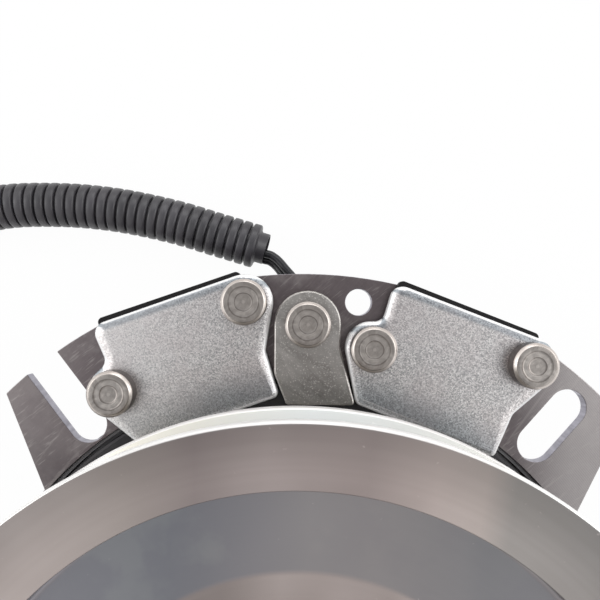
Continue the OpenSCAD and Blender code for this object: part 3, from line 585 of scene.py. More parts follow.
@dataclass(frozen=True)
class BrushedSteel(Finish):
    """Plain steel with a one-way grain."""

    dark: Colour
    light: Colour
    grain_turn: float
    rough: float
    metal: float = 1.0
    brush: float = 0.4
    flecks: float = 0.0

    def paint(self, graph: ShaderGraph) -> None:
        """Steel with long grain, soft rub marks and small bright flecks.

        Args:
            graph: the node tree that it fills.
        """
        brushed = graph.grain(graph.place(scale=(1, 0.05, 1), turn=self.grain_turn), 2400, 3, 0.6)
        rub = graph.grain(graph.place(scale=(1, 0.35, 1), turn=self.grain_turn + 40), 210, 4, 0.55, 1.5)
        pits = graph.grain(graph.place(), 2600, 3, 0.6)
        body = graph.ramp(rub, (0.32, self.dark), (0.7, self.light))
        grained = graph.mix(graph.spread(brushed, 0.3, 0.7, 0, self.brush), body, self.dark)
        pitted = graph.mix(graph.spread(pits, 0.55, 0.72, 0, 0.6), grained, self.light)
        graph.surface(Base_Color=graph.mix(graph.spread(pits, 0.56, 0.7, 0, self.flecks), pitted, tint(240, 236, 230)),
                      Metallic=self.metal, Roughness=graph.spread(pits, 0.3, 0.7, self.rough - 0.06, self.rough + 0.08))
        graph.relief((brushed, 0.00001, 0.5), (pits, 0.000008, 0.4))


@dataclass(frozen=True)
class Moulded(Finish):
    """Moulded plastic or rubber."""

    dark: Colour
    light: Colour
    smooth: float
    rough: float
    texture: float = 2200
    depth: float = 0.00002
    gloss: float = 0.5

    def paint(self, graph: ShaderGraph) -> None:
        """Fine moulded texture with a slightly uneven colour.

        Args:
            graph: the node tree that it fills.
        """
        where = graph.place()
        skin, cloud = graph.grain(where, self.texture, 3, 0.6), graph.grain(where, 90, 3, 0.55)
        graph.surface(Base_Color=graph.ramp(cloud, (0.3, self.dark), (0.7, self.light)),
                      Roughness=graph.spread(skin, 0.3, 0.7, self.smooth, self.rough), Specular_IOR_Level=self.gloss)
        graph.relief((skin, self.depth, 0.35))


@dataclass(frozen=True)
class WoundCopper(Finish):
    """Enamelled winding."""

    def paint(self, graph: ShaderGraph) -> None:
        """Copper strands that lie side by side around the axis.

        Args:
            graph: the node tree that it fills.
        """
        strand = graph.math("SINE", graph.times(graph.math("ADD", graph.axis("Z"), graph.radius()), 11000.0))
        wear_and_sheen = graph.grain(graph.place(), 300, 3)
        graph.surface(Base_Color=graph.tones(wear_and_sheen, (0.3, 150, 78, 44), (0.7, 206, 120, 72)), Metallic=1.0,
                      Roughness=graph.spread(wear_and_sheen, 0.3, 0.7, 0.3, 0.45))
        graph.relief((strand, 0.00015, 0.6))


@dataclass(frozen=True)
class PressedLining(Finish):
    """Friction lining with chopped fibres."""

    def paint(self, graph: ShaderGraph) -> None:
        """Matt brown lining with pale fibres.

        Args:
            graph: the node tree that it fills.
        """
        crumbs = graph.cells(graph.place(), 1300)
        fibre = graph.grain(graph.place(scale=(1, 0.12, 1), turn=30), 1500)
        body = graph.tones(crumbs, (0.2, 74, 56, 44), (0.8, 118, 92, 70))
        graph.surface(Base_Color=graph.mix(graph.spread(fibre, 0.62, 0.7, 0, 0.6), body, tint(176, 152, 108)),
                      Roughness=graph.spread(fibre, 0.3, 0.7, 0.8, 0.95))
        graph.relief((crumbs, 0.00006, 0.4))


class Rack:
    """The finishes of the clutch, each under the material slot that it belongs to."""

    PULLEY = PressedShell("pulley_steel", tint(198, 190, 186), tint(226, 220, 217), 0.29, 0.36, 700, 0.000002, 22)
    GROOVE = GrooveSteel("groove_steel", tint(226, 225, 222), tint(246, 245, 243), 0.29, 0.36, 500, 0.000003, 30, 0.5)
    HUB = SpunSteel("hub_steel", tint(160, 156, 152), tint(196, 192, 188), 0.28, 0.4, 1500, 0.00001)
    ROTOR = SpunSteel("rotor_steel", tint(140, 138, 138), tint(182, 180, 178), 0.3, 0.42, 1300, 0.00001)
    SHELL = SpunSteel("shell_steel", tint(118, 116, 118), tint(160, 158, 158), 0.32, 0.46, 1100, 0.00001)
    BEARING = SpunSteel("bearing_steel", tint(190, 190, 192), tint(216, 216, 218), 0.14, 0.22, 2600, 0.000003)
    ARMATURE = SpunSteel("armature_steel", tint(58, 57, 59), tint(84, 83, 84), 0.4, 0.55, 1500, 0.00001)
    ZINC = ZincFinish("zinc_plate")
    STUD = TurnedFace("turned_steel")
    BRACKET = RolledPlate("bracket_steel")
    BRACKET_CUT = CutEdge("bracket_cut")
    TAB = BrushedSteel("tab_steel", tint(158, 154, 150), tint(192, 188, 184), 12, 0.36, brush=0.1, flecks=0.7)
    SPRING = BrushedSteel("spring_steel", tint(150, 150, 156), tint(200, 200, 206), 70, 0.34)
    BRASS = BrushedSteel("terminal_brass", tint(196, 160, 84), tint(236, 204, 124), 0, 0.34)
    MAGNET = BrushedSteel("magnet", tint(52, 52, 56), tint(84, 84, 88), 30, 0.5, metal=0.6)
    COPPER = WoundCopper("copper_wire")
    LINING = PressedLining("lining")
    HOLDER = Moulded("bobbin_plastic", tint(10, 9, 10), tint(20, 18, 19), 0.5, 0.66, gloss=0.25)
    RUBBER = Moulded("black_rubber", tint(24, 24, 26), tint(38, 38, 40), 0.42, 0.6, 1600)
    RESIN = Moulded("resin", tint(22, 24, 26), tint(40, 42, 44), 0.12, 0.3, 260, 0.0001)
    WIRE = Moulded("wire_jacket", tint(20, 20, 22), tint(38, 38, 42), 0.16, 0.3, 900, 0.000008)
    CONDUIT = Moulded("conduit_plastic", tint(52, 51, 54), tint(70, 68, 72), 0.3, 0.44, 900, 0.00001)
    PLUG = Moulded("plug_plastic", tint(34, 34, 36), tint(50, 50, 53), 0.36, 0.5)
    SEAL = Moulded("seal_rubber", tint(44, 110, 96), tint(60, 134, 118), 0.4, 0.55)


def stand(name: str, data: bpy.types.ID | Mesh) -> bpy.types.Object:
    """Put something new in the scene.

    Args:
        name: its name.
        data: its data, or a bmesh, which is freed.

    Returns:
        The new object.
    """
    if isinstance(data, Mesh):
        mesh = bpy.data.meshes.new(name)
        data.to_mesh(mesh)
        data.free()
        data = mesh
    made = bpy.data.objects.new(name, data)
    bpy.context.scene.collection.objects.link(made)
    return made


@dataclass(frozen=True)
class Flex:
    """The stretch of a piece, in millimetres, over which it bends from its own body to another."""

    body: Body
    start: Vector
    end: Vector


@dataclass
class Workshop:
    """Turns meshes into pieces of the clutch and dresses CAD nodes."""

    nodes: dict[str, bpy.types.Object]
    made: int = 0
    sharp: float = 35.0
    flat: float = 0.3

    def dress(self, finish: Finish, *names: str) -> None:
        """Give CAD nodes a finish.

        Args:
            finish: the finish.
            names: names of the nodes.
        """
        for name in names:
            for slot in self.nodes[name].material_slots:
                slot.material = finish.material()
            LOG.info("dressed %s with %s", name, finish.name)

    def mount(self, data: Mesh | bpy.types.Curve, name: str, node: str, slot: Finish, body: Body = Body.FIELD,
              place: Matrix | None = None, finishes: Sequence[Finish] = (), sharp: float = 40,
              weighted: bool = False, flex: Flex | None = None) -> bpy.types.Object:
        """Make a piece in place of a CAD node.

        Args:
            data: a mesh in millimetres, which is freed, or a curve in metres.
            name: name of the piece.
            node: the CAD node that it stands for.
            slot: the finish that the piece takes where no finishes are given.
            body: the CAD body that it rides on.
            place: place of the mesh in millimetres.
            finishes: finishes by material index, where they aren't the slot's.
            sharp: angle of the mesh's edges that stay sharp, in degrees.
            weighted: keep large flat faces flat beside small rounded edges.
            flex: the stretch towards another body, where there is one; such a piece is left where it stands and not
                attached to a body.

        Returns:
            The piece.
        """
        if isinstance(data, Mesh):
            for face in data.faces:
                face.smooth = True
            for edge in data.edges:
                edge.smooth = not (edge.is_manifold and edge.calc_face_angle() > math.radians(sharp))
            bmesh.ops.transform(data, matrix=Matrix.Scale(MM, 4) @ (place or Matrix.Identity(4)), verts=data.verts)
        piece = stand(name, data)
        for finish in finishes or [slot]:
            piece.data.materials.append(finish.material())
        if weighted:
            piece.modifiers.new("flat_faces", "WEIGHTED_NORMAL").keep_sharp = True
        if flex:
            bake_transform(piece)
        else:
            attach(piece, body.value)
        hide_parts(node)
        self.made += 1
        LOG.info("made %s on %s for %s", name, body.value, node)
        return piece

    def copied(self, name: str) -> Mesh:
        """Copy of a CAD node as a clean mesh in millimetres, with flat faces joined.

        Args:
            name: name of the node.

        Returns:
            The merged mesh.
        """
        bm = bmesh.new()
        bm.from_mesh(self.nodes[name].data)
        bmesh.ops.scale(bm, vec=(1 / MM,) * 3, verts=bm.verts)
        bmesh.ops.remove_doubles(bm, verts=bm.verts, dist=MERGE)
        bmesh.ops.dissolve_limit(bm, angle_limit=math.radians(self.flat), verts=bm.verts, edges=bm.edges)
        return bm

    def refine(self, node: str, suffix: str, slot: Finish, body: Body = Body.FIELD, width: float = 0.3,
               wall: Finish | None = None) -> None:
        """Make a piece from a CAD node by rounding its sharp edges.

        Args:
            node: the CAD node.
            suffix: what the piece's name adds to the node's.
            slot: its finish.
            body: the CAD body that it rides on.
            width: width of the rounding in millimetres.
            wall: another finish for its upright walls.
        """
        bm = self.copied(node)
        for face in bm.faces:
            face.material_index = 1 if wall and abs(face.normal.z) < 0.5 else 0
        edges = [e for e in bm.edges if e.is_manifold and e.calc_face_angle() > math.radians(self.sharp)]
        bmesh.ops.bevel(bm, geom=edges, offset=width, offset_type="OFFSET", segments=2, profile=0.5,
                        affect="EDGES", clamp_overlap=True, loop_slide=False, material=-1)
        self.mount(bm, node + suffix, node, slot, body, finishes=[slot, wall] if wall else (), weighted=True)


def lathe(profile: Sequence[tuple[float, ...]], steps: int) -> Mesh:
    """Turn a closed profile around Z.

    Args:
        profile: radius and height of each point in order, and the fillet of a rounded one.
        steps: number of steps around.

    Returns:
        The turned mesh in millimetres.
    """
    bm = bmesh.new()
    verts = [bm.verts.new((point[0], 0, point[1])) for point in profile]
    bm.faces.new(verts)
    for size in sorted({point[2] for point in profile if len(point) > 2}):
        corners = [vert for vert, point in zip(verts, profile) if point[2:] == (size,)]
        bmesh.ops.bevel(bm, geom=corners, offset=size, offset_type="OFFSET", segments=6, profile=0.5,
                        affect="VERTICES", clamp_overlap=False, material=-1)
    bmesh.ops.delete(bm, geom=bm.faces[:], context="FACES_ONLY")
    bmesh.ops.spin(bm, geom=bm.verts[:] + bm.edges[:], cent=(0, 0, 0), axis=(0, 0, 1), dvec=(0, 0, 0),
                   angle=math.tau, steps=steps, use_merge=True, use_duplicate=False)
    bmesh.ops.remove_doubles(bm, verts=bm.verts, dist=MERGE)
    bmesh.ops.recalc_face_normals(bm, faces=bm.faces)
    return bm


@dataclass(frozen=True)
class Corner:
    """A rounded corner of a plate's outline. A negative radius makes an inside corner."""

    x: float
    y: float
    r: float

    def inset(self, depth: float) -> Corner:
        """The corner of an outline that lies this far inside."""
        return Corner(self.x, self.y, self.r - depth if self.r < 0 else max(self.r - depth, 0.2))

    def tangent(self, after: Corner) -> float:
        """Angle at which the straight edge to the next corner leaves this one."""
        step = math.hypot(after.x - self.x, after.y - self.y)
        return math.atan2(after.y - self.y, after.x - self.x) - math.acos((self.r - after.r) / step)


def draw_outline(bm: Mesh, corners: Sequence[Corner], height: float, steps: int = 16) -> list[bmesh.types.BMEdge]:
    """Draw a plate's outline as a closed loop.

    Args:
        bm: mesh that takes the loop.
        corners: corners of the outline, counter-clockwise.
        height: height of the loop.
        steps: edges in each rounded corner.

    Returns:
        The edges of the loop.
    """
    earlier = set(bm.edges)
    arcs: list[tuple[bmesh.types.BMVert, bmesh.types.BMVert]] = []
    for before, here, after in zip([corners[-1], *corners], corners, [*corners[1:], corners[0]]):
        start = before.tangent(here)
        turn = (here.tangent(after) - start) % math.tau - (math.tau if here.r < 0 else 0)
        first = bm.verts.new((here.x + here.r * math.cos(start), here.y + here.r * math.sin(start), height))
        spun = bmesh.ops.spin(bm, geom=[first], cent=(here.x, here.y, height), axis=(0, 0, 1), dvec=(0, 0, 0),
                              angle=turn, steps=steps, use_merge=False, use_duplicate=False)["geom_last"]
        arcs.append((first, next(item for item in spun if isinstance(item, bmesh.types.BMVert))))
    for (_, last), (first, _) in zip(arcs, [*arcs[1:], arcs[0]]):
        bm.edges.new((last, first))
    return [edge for edge in bm.edges if edge not in earlier]


def cut_plate(corners: Sequence[Corner], bottom: float, top: float, roll: tuple[float, float],
              broken: float = 0.15, bends: int = 8) -> Mesh:
    """Stamp a flat plate whose upper edge is rolled over.

    Args:
        corners: corners of the outline, counter-clockwise.
        bottom: height of the lower face.
        top: height of the upper face.
        roll: how far the rolled edge reaches inwards and downwards.
        broken: width of the broken lower edge.
        bends: faces across the rolled edge.

    Returns:
        The plate in millimetres.
    """
    bm = bmesh.new()
    levels = [(broken, bottom), (0.0, bottom + broken)]
    for part in range(bends + 1):
        lean = math.radians(90 * part / bends)
        levels.append((roll[0] * (1 - math.cos(lean)), top - roll[1] * (1 - math.sin(lean))))
    loops = [draw_outline(bm, [corner.inset(depth) for corner in corners], height) for depth, height in levels]
    for end in (loops[0], loops[-1]):
        bmesh.ops.contextual_create(bm, geom=end)
    for lower, upper in zip(loops, loops[1:]):
        bmesh.ops.bridge_loops(bm, edges=lower + upper)
    bmesh.ops.recalc_face_normals(bm, faces=bm.faces)
    return bm


def fan_place(angle: float) -> Matrix:
    """Place in the fan's frame, which lies beside the main axis and is turned by an angle in degrees."""
    return Matrix.Translation((1.5, 0, 0)) @ Matrix.Rotation(math.radians(angle), 4, "Z")


@dataclass
class Studio:
    """Pale floor, soft light and the camera of the photograph."""

    focal: float = 36.76
    sensor: float = 36.0
    eye: Point = (-4.24, 99.14, 173.7)
    roll: float = 2.45
    shift: float = 0.0069
    floor_drop: float = 0.05
    table_r: float = 3.0
    table_glow: float = 0.97
    reach: tuple[float, float] = (0.62, 1.25)
    target: Point = (0, 0.05, 0.02)
    lamps: tuple[tuple[str, Point, float, float], ...] = (
        ("left_box", (-0.75, 0.15, 0.6), 0.5, 1.6), ("right_box", (0.75, 0.25, 0.55), 0.5, 1.6),
        ("back_box", (0.05, 0.95, 0.55), 0.6, 1.8))

    def camera(self) -> None:
        """Set the camera straight above the brake, at the photograph's distance."""
        data = bpy.data.cameras.new("photo_camera")
        data.lens, data.sensor_width, data.shift_x = self.focal, self.sensor, self.shift
        data.clip_start, data.clip_end = 0.005, 20
        camera = stand("photo_camera", data)
        camera.location = Vector(self.eye) * MM
        camera.rotation_euler = (0, 0, math.radians(self.roll))
        bpy.context.scene.camera = camera

    def floor(self) -> None:
        """Table under the clutch, plain white to rays that show it straight or in metal and glass."""
        bm = bmesh.new()
        bmesh.ops.create_circle(bm, cap_ends=True, segments=96, radius=self.table_r,
                                matrix=Matrix.Translation((0, 0, -self.floor_drop * MM)))
        table = stand("table", bm)
        material = bpy.data.materials.new("white_table")
        graph = ShaderGraph(material)
        graph.nodes.clear()
        rays = graph.add("LightPath").outputs
        share = rays["Is Camera Ray"]
        for ray in ("Is Glossy Ray", "Is Transmission Ray"):
            share = graph.math("MAXIMUM", share, rays[ray])
        matt = graph.add("BsdfDiffuse", {"Color": (0.86, 0.86, 0.86, 1)}).outputs[0]
        glow = graph.add("Emission", {"Strength": 1.0}).outputs[0]
        mixed = graph.add("MixShader", {0: graph.times(share, self.table_glow), 1: matt, 2: glow})
        graph.add("OutputMaterial", {0: mixed.outputs[0]})
        table.data.materials.append(material)
        table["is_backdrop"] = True

    def surroundings(self) -> None:
        """Pale studio with a dark ceiling over the camera, a dim wall in front and uneven low walls."""
        world = bpy.context.scene.world = bpy.data.worlds.new("studio")
        graph = ShaderGraph(world)
        graph.nodes.clear()
        direction = graph.add("TexCoord").outputs["Generated"]
        across, ahead, up = (graph.axis(name, direction) for name in "XYZ")
        wide, deep = self.reach
        spread_out = graph.add("VectorMath", {0: direction, 1: (1 / wide, 1 / deep, 0), 2: (0, 0.1 / deep, 0)},
                               operation="MULTIPLY_ADD")
        overhead = graph.length(spread_out.outputs["Vector"])
        sky = graph.ramp(overhead, (0.0, (0.52, 0.505, 0.5)), (0.25, (0.5, 0.49, 0.49)), (0.42, (0.42, 0.44, 0.465)),
                         (0.58, (0.47, 0.49, 0.51)), (0.72, (0.88, 0.89, 0.9)), (0.84, 1.15), (1.0, 1.3))
        wall = graph.ramp(up, (0.0, (0.8, 0.79, 0.78)), (0.5, (0.66, 0.61, 0.6)), (0.76, (0.56, 0.52, 0.51)),
                          (0.9, (0.34, 0.36, 0.385)))
        low = graph.ramp(graph.math("MULTIPLY_ADD", ahead, 0.5, 0.5), (0.0, (0.3, 0.29, 0.29)), (0.32, 1.1),
                         (0.62, 1.25), (0.95, (0.5, 0.47, 0.46)))
        front = graph.times(graph.spread(ahead, -0.2, -0.4),
                            graph.spread(graph.math("ABSOLUTE", across), 0.2, 0.4, 1, 0))
        lit = graph.mix(graph.spread(up, 0.36, 0.14), graph.mix(front, sky, wall), low)
        seen = graph.add("LightPath").outputs["Is Camera Ray"]
        light = graph.add("Background", {"Color": graph.mix(seen, lit, WHITE)})
        graph.add("OutputWorld", {0: light.outputs[0]})

    def soft_boxes(self) -> None:
        """Hang the soft boxes around the clutch, by name, place in metres, side in metres and power in watts."""
        for name, place, size, power in self.lamps:
            data = bpy.data.lights.new(name, "AREA")
            data.shape, data.size, data.energy = "SQUARE", size, power
            lamp = stand(name, data)
            lamp.location = place
            lamp.rotation_euler = (Vector(self.target) - Vector(place)).to_track_quat("-Z", "Y").to_euler()

    def build(self) -> None:
        """Set up the whole studio."""
        bpy.context.scene.view_settings.view_transform = "Standard"
        self.camera()
        self.floor()
        self.surroundings()
        self.soft_boxes()
        LOG.info("studio is up")


@dataclass
class CoilLead:
    """The two coil wires and the corrugated conduit that covers them."""

    shop: Workshop
    wire_d: float = 2.3
    conduit_d: float = 12.0
    neck_r: float = 4.2
    neck_l: float = 2.1
    mouth_r: float = 3.7
    mouth_depth: float = 5.0
    root_r: float = 4.75
    pitch: float = 2.76
    sides: int = 28
    line_steps: int = 24
    wires: tuple[tuple[str, float, tuple[Point, ...]], ...] = (
        ("lead_wire_a", 0.0363, (
            (1.4, 83, 9), (1.4, 85.5, 9), (0.9, 92.5, 9.1), (-0.7, 98, 9), (-3.5, 103, 8.7),
            (-6.9, 106.9, 8.2), (-11.25, 110.85, 7.45), (-13.2, 111.35, 7.4), (-15.2, 111.86, 7.35))),
        ("lead_wire_b", 0.0339, (
            (-1.4, 83, 9), (-1.4, 85.5, 9), (-1.6, 92, 8.5), (-2.8, 97.1, 7.8), (-5.1, 101.9, 7.1),
            (-8, 105.8, 6.2), (-11.6, 109.3, 5.45), (-13.55, 109.8, 5.4), (-15.55, 110.31, 5.36))))
    route: tuple[Point, ...] = (
        (-12.9, 112.6, 6.2), (-25.8, 115.9, 6), (-39, 119.2, 6), (-54.9, 121.7, 6), (-70.6, 122.3, 6),
        (-86.4, 120.9, 6), (-100.6, 116, 6), (-113, 107.5, 6), (-122, 95, 6), (-127.5, 80, 6),
        (-129.5, 63, 6), (-129, 46, 6), (-126.5, 31, 6), (-123.5, 17, 6.4), (-121, 7, 7), (-121, 0, 7))
    rib: tuple[tuple[float, float], ...] = (
        (0.0, 4.75), (0.17, 4.75), (0.2, 5.6), (0.27, 5.92), (0.38, 6.0), (0.8, 6.0), (0.92, 5.92), (0.985, 5.6))

    def lay_wires(self) -> None:
        """Lay each wire from the grommet into the conduit, by node, length in metres and route in millimetres."""
        for name, length, points in self.wires:
            curve = bpy.data.curves.new(name + "_laid", "CURVE")
            curve.dimensions, curve.use_fill_caps = "3D", True
            curve.bevel_depth, curve.bevel_resolution, curve.resolution_u = self.wire_d / 2 * MM, 6, 10
            spline = curve.splines.new("BEZIER")
            spline.bezier_points.add(len(points) - 1)
            for knot, point in zip(spline.bezier_points, points):
                knot.co = Vector(point) * MM
                knot.handle_left_type = knot.handle_right_type = "AUTO"
            laid = self.shop.mount(curve, name + "_laid", name, Rack.WIRE)

    def centre_line(self) -> list[Vector]:
        """Smooth line through the route.

        Returns:
            Points of the line, close together, in millimetres.
        """
        knots = [Vector(point) for point in self.route]
        ends = [knots[0] * 2 - knots[1], *knots, knots[-1] * 2 - knots[-2]]
        line: list[Vector] = []
        for before, start, end, after in zip(ends, ends[1:], ends[2:], ends[3:]):
            for t in (step / self.line_steps for step in range(self.line_steps)):
                line.append(0.5 * (2 * start + (end - before) * t + (2 * before - 5 * start + 4 * end - after) * t ** 2
                                   + (3 * start - before - 3 * end + after) * t ** 3))
        return [*line, knots[-1]]

    def along(self, line: Sequence[Vector], distances: Iterable[float]) -> list[tuple[Vector, Vector]]:
        """Points and directions at distances along a line.

        Args:
            line: the line.
            distances: distances from its start, rising.

        Returns:
            Place and direction at each distance.
        """
        found: list[tuple[Vector, Vector]] = []
        index, passed = 0, 0.0
        for distance in distances:
            while index < len(line) - 2 and passed + (line[index + 1] - line[index]).length < distance:
                passed += (line[index + 1] - line[index]).length
                index += 1
            step = line[index + 1] - line[index]
            found.append((line[index] + step * min(1.0, (distance - passed) / step.length), step.normalized()))
        return found

    def ring_place(self, centre: Vector, direction: Vector, radius: float) -> Matrix:
        """Place of a ring across the conduit.

        Args:
            centre: its centre.
            direction: direction of the conduit there.
            radius: its radius.

        Returns:
            The matrix that puts a unit circle there.
        """
        side = Vector((0, 0, 1)).cross(direction).normalized()
        turn = Matrix((side, direction.cross(side), direction)).transposed().to_4x4()
        return Matrix.Translation(centre) @ turn @ Matrix.Scale(radius, 4)

    def grow(self, bm: Mesh, edges: list[bmesh.types.BMEdge], rings: Sequence[Matrix]) -> None:
        """Grow a closed tube from an end ring.

        Args:
            bm: mesh of the conduit.
            edges: the end ring.
            rings: place of the end ring and of each ring after it.
        """
        for current, target in zip(rings, rings[1:]):
            grown = bmesh.ops.extrude_edge_only(bm, edges=edges)["geom"]
            edges = [item for item in grown if isinstance(item, bmesh.types.BMEdge)]
            bmesh.ops.transform(bm, matrix=target @ current.inverted(),
                                verts=[item for item in grown if isinstance(item, bmesh.types.BMVert)])
        bmesh.ops.contextual_create(bm, geom=edges)

    def conduit(self) -> None:
        """Corrugated tube with a plain neck, built ring by ring along its route, and its open mouth."""
        line = self.centre_line()
        length = sum((after - here).length for here, after in zip(line, line[1:]))
        stations = [(0.0, self.neck_r - 0.15), (0.12, self.neck_r), (self.neck_l, self.neck_r)]
        start = self.neck_l
        while start + self.pitch < length - 0.2:
            stations += [(start + share * self.pitch, r) for share, r in self.rib if start > self.neck_l or share > 0]
            start += self.pitch
        stations.append((length, self.root_r))
        places = self.along(line, [distance for distance, _ in stations])
        rings = [self.ring_place(*place, radius) for place, (_, radius) in zip(places, stations)]
        bm = bmesh.new()
        bmesh.ops.create_circle(bm, cap_ends=False, segments=self.sides, radius=1.0, matrix=rings[0])
        edges = bm.edges[:]
        self.grow(bm, edges, rings)
        centre, direction = places[0]
        self.grow(bm, edges, [rings[0], *(self.ring_place(centre + direction * depth, direction, self.mouth_r)
                                          for depth in (0.0, self.mouth_depth))])
        bmesh.ops.recalc_face_normals(bm, faces=bm.faces)
        piece = self.shop.mount(bm, "lead_conduit_ribbed", "lead_conduit", Rack.CONDUIT, sharp=75)

    def build(self) -> None:
        """Lay both wires and the conduit."""
        self.lay_wires()
        self.conduit()
        self.shop.dress(Rack.RUBBER, "lead_grommet")
        self.shop.dress(Rack.PLUG, "connector_housing")
        self.shop.dress(Rack.SEAL, "connector_seal")
        self.shop.dress(Rack.BRASS, "connector_terminals")


@dataclass
class Pulley:
    """The formed V pulley with its hub and the leaf springs that carry the armature."""

    shop: Workshop
    rim_r: float = 79.375
    rear_rim_r: float = 78.375
    groove_r: float = 69.2
    wall_r: float = 66.4
    web_r: float = 48.6
    hub_r: float = 40.0
    steps: int = 256
    springs: int = 3
    spring_r: float = 60.0
    spring_span: float = 38.0
    head_r: float = 5.0
    spring_bends: int = 14

    def shells(self) -> None:
        """Front shell with its flange, bend, wall, web and cone, and rear shell with its flange and web."""
        front = [(self.rim_r, 70.8, 0.45), (self.rim_r - 0.08, 72.5, 0.3), (self.rim_r - 0.38, 73.36, 0.2),
                 (self.wall_r, 68.79, 0.25), (self.wall_r, 60.0, 1.6), (self.web_r, 60.0, 0.8), (self.hub_r, 56.87),
                 (self.hub_r, 54.07), (self.web_r, 57.2), (self.groove_r, 57.2), (self.groove_r, 66.85, 1.4)]
        rear = [(self.rear_rim_r, 54.7, 0.25), (self.rear_rim_r - 0.22, 55.15, 0.12), (self.groove_r, 58.65),
                (self.groove_r, 57.2), (self.web_r, 57.2), (self.hub_r, 54.07), (self.hub_r, 51.27),
                (self.web_r, 54.4), (72.1, 54.45, 2.0), (self.rear_rim_r, 52.18, 0.6)]
        for part, profile, finish in (("front", front, Rack.PULLEY), ("rear", rear, Rack.GROOVE)):
            self.shop.mount(lathe(profile, self.steps), f"pulley_{part}_shell", f"pulley_{part}_half", Rack.PULLEY,
                            Body.PULLEY, finishes=[finish])

    def leaf_spring(self, index: int) -> None:
        """One leaf spring, held by its drive rivet, cut across at even steps along its stretch towards its rivet in the
        armature.

        Args:
            index: which of the springs it is.
        """
        span = math.radians(self.spring_span)
        root, middle, tip = (Matrix.Rotation(math.tau * index / self.springs + angle, 3, "Z").col[0] * self.spring_r
                             for angle in (0, span / 2, span))
        along = (tip - root).normalized()
        start, end = root + along * self.head_r, tip - along * self.head_r
        bm = self.shop.copied("drive_springs")
        others = [vert for vert in bm.verts if vert.co.to_2d().angle(middle.to_2d()) > math.pi / self.springs]
        bmesh.ops.delete(bm, geom=others, context="VERTS")
        for step in range(self.spring_bends + 1):
            bmesh.ops.bisect_plane(bm, geom=bm.verts[:] + bm.edges[:] + bm.faces[:], dist=0.0001,
                                   plane_co=start.lerp(end, step / self.spring_bends), plane_no=along)
        self.shop.mount(bm, f"leaf_spring_{index + 1}", "drive_springs", Rack.SPRING, Body.PULLEY,
                        flex=Flex(Body.ARMATURE, start, end))

    def build(self) -> None:
        """Make both shells, the hub and the leaf springs, and dress what the hub carries."""
        self.shells()
        self.shop.refine("pulley_hub", "_turned", Rack.HUB, Body.PULLEY, 0.35)
        for index in range(self.springs):
            self.leaf_spring(index)
        self.shop.dress(Rack.SPRING, "pulley_bore_ring")
        self.shop.dress(Rack.HUB, "spring_rivets")
        self.shop.dress(Rack.BEARING, "pulley_bearing_outer", "pulley_bearing_balls", "pulley_bearing_inner")
        self.shop.dress(Rack.RUBBER, "pulley_bearing_seals")


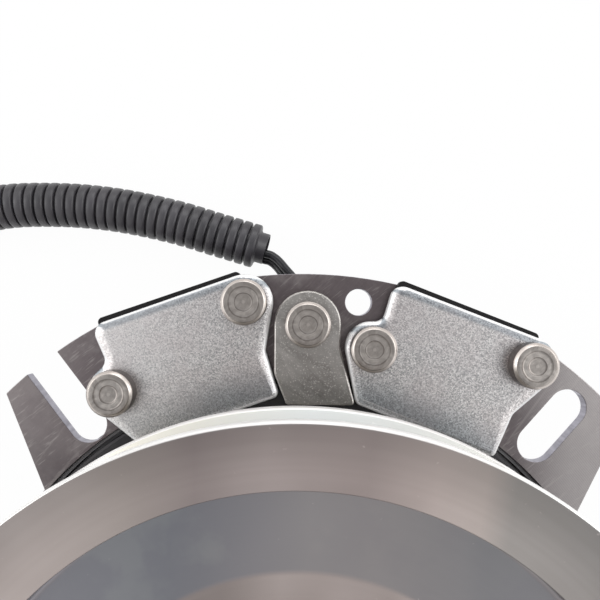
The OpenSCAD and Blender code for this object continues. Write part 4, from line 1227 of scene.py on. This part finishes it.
@dataclass
class Brake:
    """Zinc-plated brake poles, their magnet holders, the centre tab and the turned studs."""

    shop: Workshop
    turn: float = 1.1
    plate_angle: float = 20.17
    tab_turn: float = 1.65
    bottom: float = 26.5
    top: float = 29.5
    plate_roll: tuple[float, float] = (2.7, 1.2)
    tab_roll: tuple[float, float] = (0.5, 0.45)
    head_r: float = 5.35
    head_top: float = 34.0
    stud_steps: int = 72
    studs: tuple[tuple[float, float], ...] = ((-16.9, 87.8), (19.1, 97.9))
    tab_stud: tuple[float, float] = (0.0, 93.6)
    plate_corners: tuple[Corner, ...] = (
        Corner(-14.5, 76.1, 2), Corner(18.1, 75.6, 1.5), Corner(22.9, 84.6, -3), Corner(19.1, 97.9, 6.6),
        Corner(-14.2, 101.3, 3), Corner(-19.2, 96.3, -2.4), Corner(-16.9, 87.8, 6.3))
    tab_corners: tuple[Corner, ...] = (
        Corner(-4.2, 75.4, 0.9), Corner(10.3, 75.4, 0.9), Corner(13.7, 88.8, -6), Corner(0, 93.6, 7.9),
        Corner(-4.8, 82.5, 3))

    def stud_profile(self) -> list[tuple[float, ...]]:
        """Half section of a stud: riveted tail, shank, shoulder and a turned, grooved head.

        Returns:
            Radius, height and fillet of each point.
        """
        r, top = self.head_r, self.head_top
        return [(0, 19.6), (3.4, 19.6), (4, 20.2), (4, 20.8), (3, 20.8), (3, 24), (4, 24), (4, self.bottom),
                (3, self.bottom), (3, self.top), (r, self.top, 0.12), (r, top - 0.65, 0.22),
                (r - 0.65, top - 0.05, 0.18), (3.5, top), (3.2, top - 0.06, 0.1), (2.1, top - 0.05, 0.2),
                (1.8, top - 0.12, 0.1), (0.5, top - 0.1), (0, top - 0.1)]

    def stud_group(self, name: str, places: Sequence[tuple[float, float]], angle: float) -> None:
        """Make the studs of one node.

        Args:
            name: the node that they stand for.
            places: their places in the turned frame.
            angle: turn of that frame in degrees.
        """
        bm = lathe(self.stud_profile(), self.stud_steps)
        chart = bm.loops.layers.uv.new("turned")
        for loop in (loop for face in bm.faces for loop in face.loops):
            loop[chart].uv = loop.vert.co.to_2d() / self.head_r
        shape = bm.verts[:] + bm.edges[:] + bm.faces[:]
        copies = [bmesh.ops.duplicate(bm, geom=shape)["geom"] for _ in places[1:]]
        for geom, (x, y) in zip([shape, *copies], places):
            bmesh.ops.translate(bm, vec=(x, y, 0), verts=[v for v in geom if isinstance(v, bmesh.types.BMVert)])
        self.shop.mount(bm, name + "_turned", name, Rack.STUD, place=fan_place(angle))

    def build(self) -> None:
        """Make the plates with their broad rolled edge, the holders, the studs and the tab."""
        for side in Side:
            end, angle = side.name.lower(), self.turn + side.value * self.plate_angle
            self.shop.mount(cut_plate(self.plate_corners, self.bottom, self.top, self.plate_roll),
                            f"brake_plate_{end}_stamped", f"brake_plate_{end}", Rack.ZINC, place=fan_place(angle),
                            weighted=True)
            self.shop.refine(f"magnet_holder_{end}", "_moulded", Rack.HOLDER)
            self.stud_group(f"brake_studs_{end}", self.studs, angle)
        self.shop.mount(cut_plate(self.tab_corners, self.bottom, self.top, self.tab_roll), "centre_tab_cut",
                        "centre_tab", Rack.TAB, place=fan_place(self.tab_turn), weighted=True)
        self.stud_group("tab_stud", [self.tab_stud], self.tab_turn)
        self.shop.dress(Rack.MAGNET, "brake_magnets")
        self.shop.dress(Rack.STUD, "tab_spacer")


@dataclass
class FanBracket:
    """Fan-shaped mounting plate with its slots and hole."""

    shop: Workshop
    edge: float = 0.22

    def build(self) -> None:
        """Break the edges of the cut plate and give its cut walls their own finish."""
        self.shop.refine("mounting_bracket", "_cut", Rack.BRACKET, width=self.edge, wall=Rack.BRACKET_CUT)


@dataclass
class CoilHousing:
    """Turned housing with the electromagnet and the rear bearing in it."""

    shop: Workshop

    def build(self) -> None:
        """Break the housing's edges and dress the coil and the bearing."""
        self.shop.refine("field_shell", "_turned", Rack.SHELL)
        self.shop.dress(Rack.HOLDER, "coil_bobbin")
        self.shop.dress(Rack.COPPER, "coil_winding")
        self.shop.dress(Rack.RESIN, "potting_resin")
        self.shop.dress(Rack.BEARING, "field_bearing_outer", "field_bearing_balls", "field_bearing_inner")
        self.shop.dress(Rack.RUBBER, "field_bearing_seals")


@dataclass
class RotorAndHub:
    """Hub on the crankshaft with the slotted rotor disc, and the armature in front of it."""

    shop: Workshop

    def build(self) -> None:
        """Break the hub's edges and dress the rest."""
        self.shop.refine("rotor_hub", "_turned", Rack.ROTOR, Body.ROTOR)
        self.shop.dress(Rack.LINING, "friction_ring")
        self.shop.dress(Rack.ROTOR, "spacer_collar")
        self.shop.dress(Rack.SPRING, "hub_rear_ring", "hub_front_ring")
        self.shop.dress(Rack.ARMATURE, "armature")
        self.shop.dress(Rack.HUB, "armature_rivets")


@dataclass
class SizeNote:
    """Keeps the CAD box."""

    cad: tuple[Vector, Vector] = field(default_factory=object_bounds)

    def write(self) -> None:
        """Do nothing; no box is written."""


def main() -> None:
    """Build the studio and every sub-assembly, after keeping the CAD box."""
    logging.basicConfig(level=logging.INFO, format="%(name)s: %(message)s")
    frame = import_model()
    sizes = SizeNote()
    Studio().build()
    shop = Workshop(frame["nodes"])
    for assembly in (CoilLead, Pulley, Brake, FanBracket, CoilHousing, RotorAndHub):
        assembly(shop).build()
        LOG.info("%s is done", assembly.__name__)
    sizes.write()
    LOG.info("%d finished pieces", shop.made)


if __name__ == "__main__":
    main()
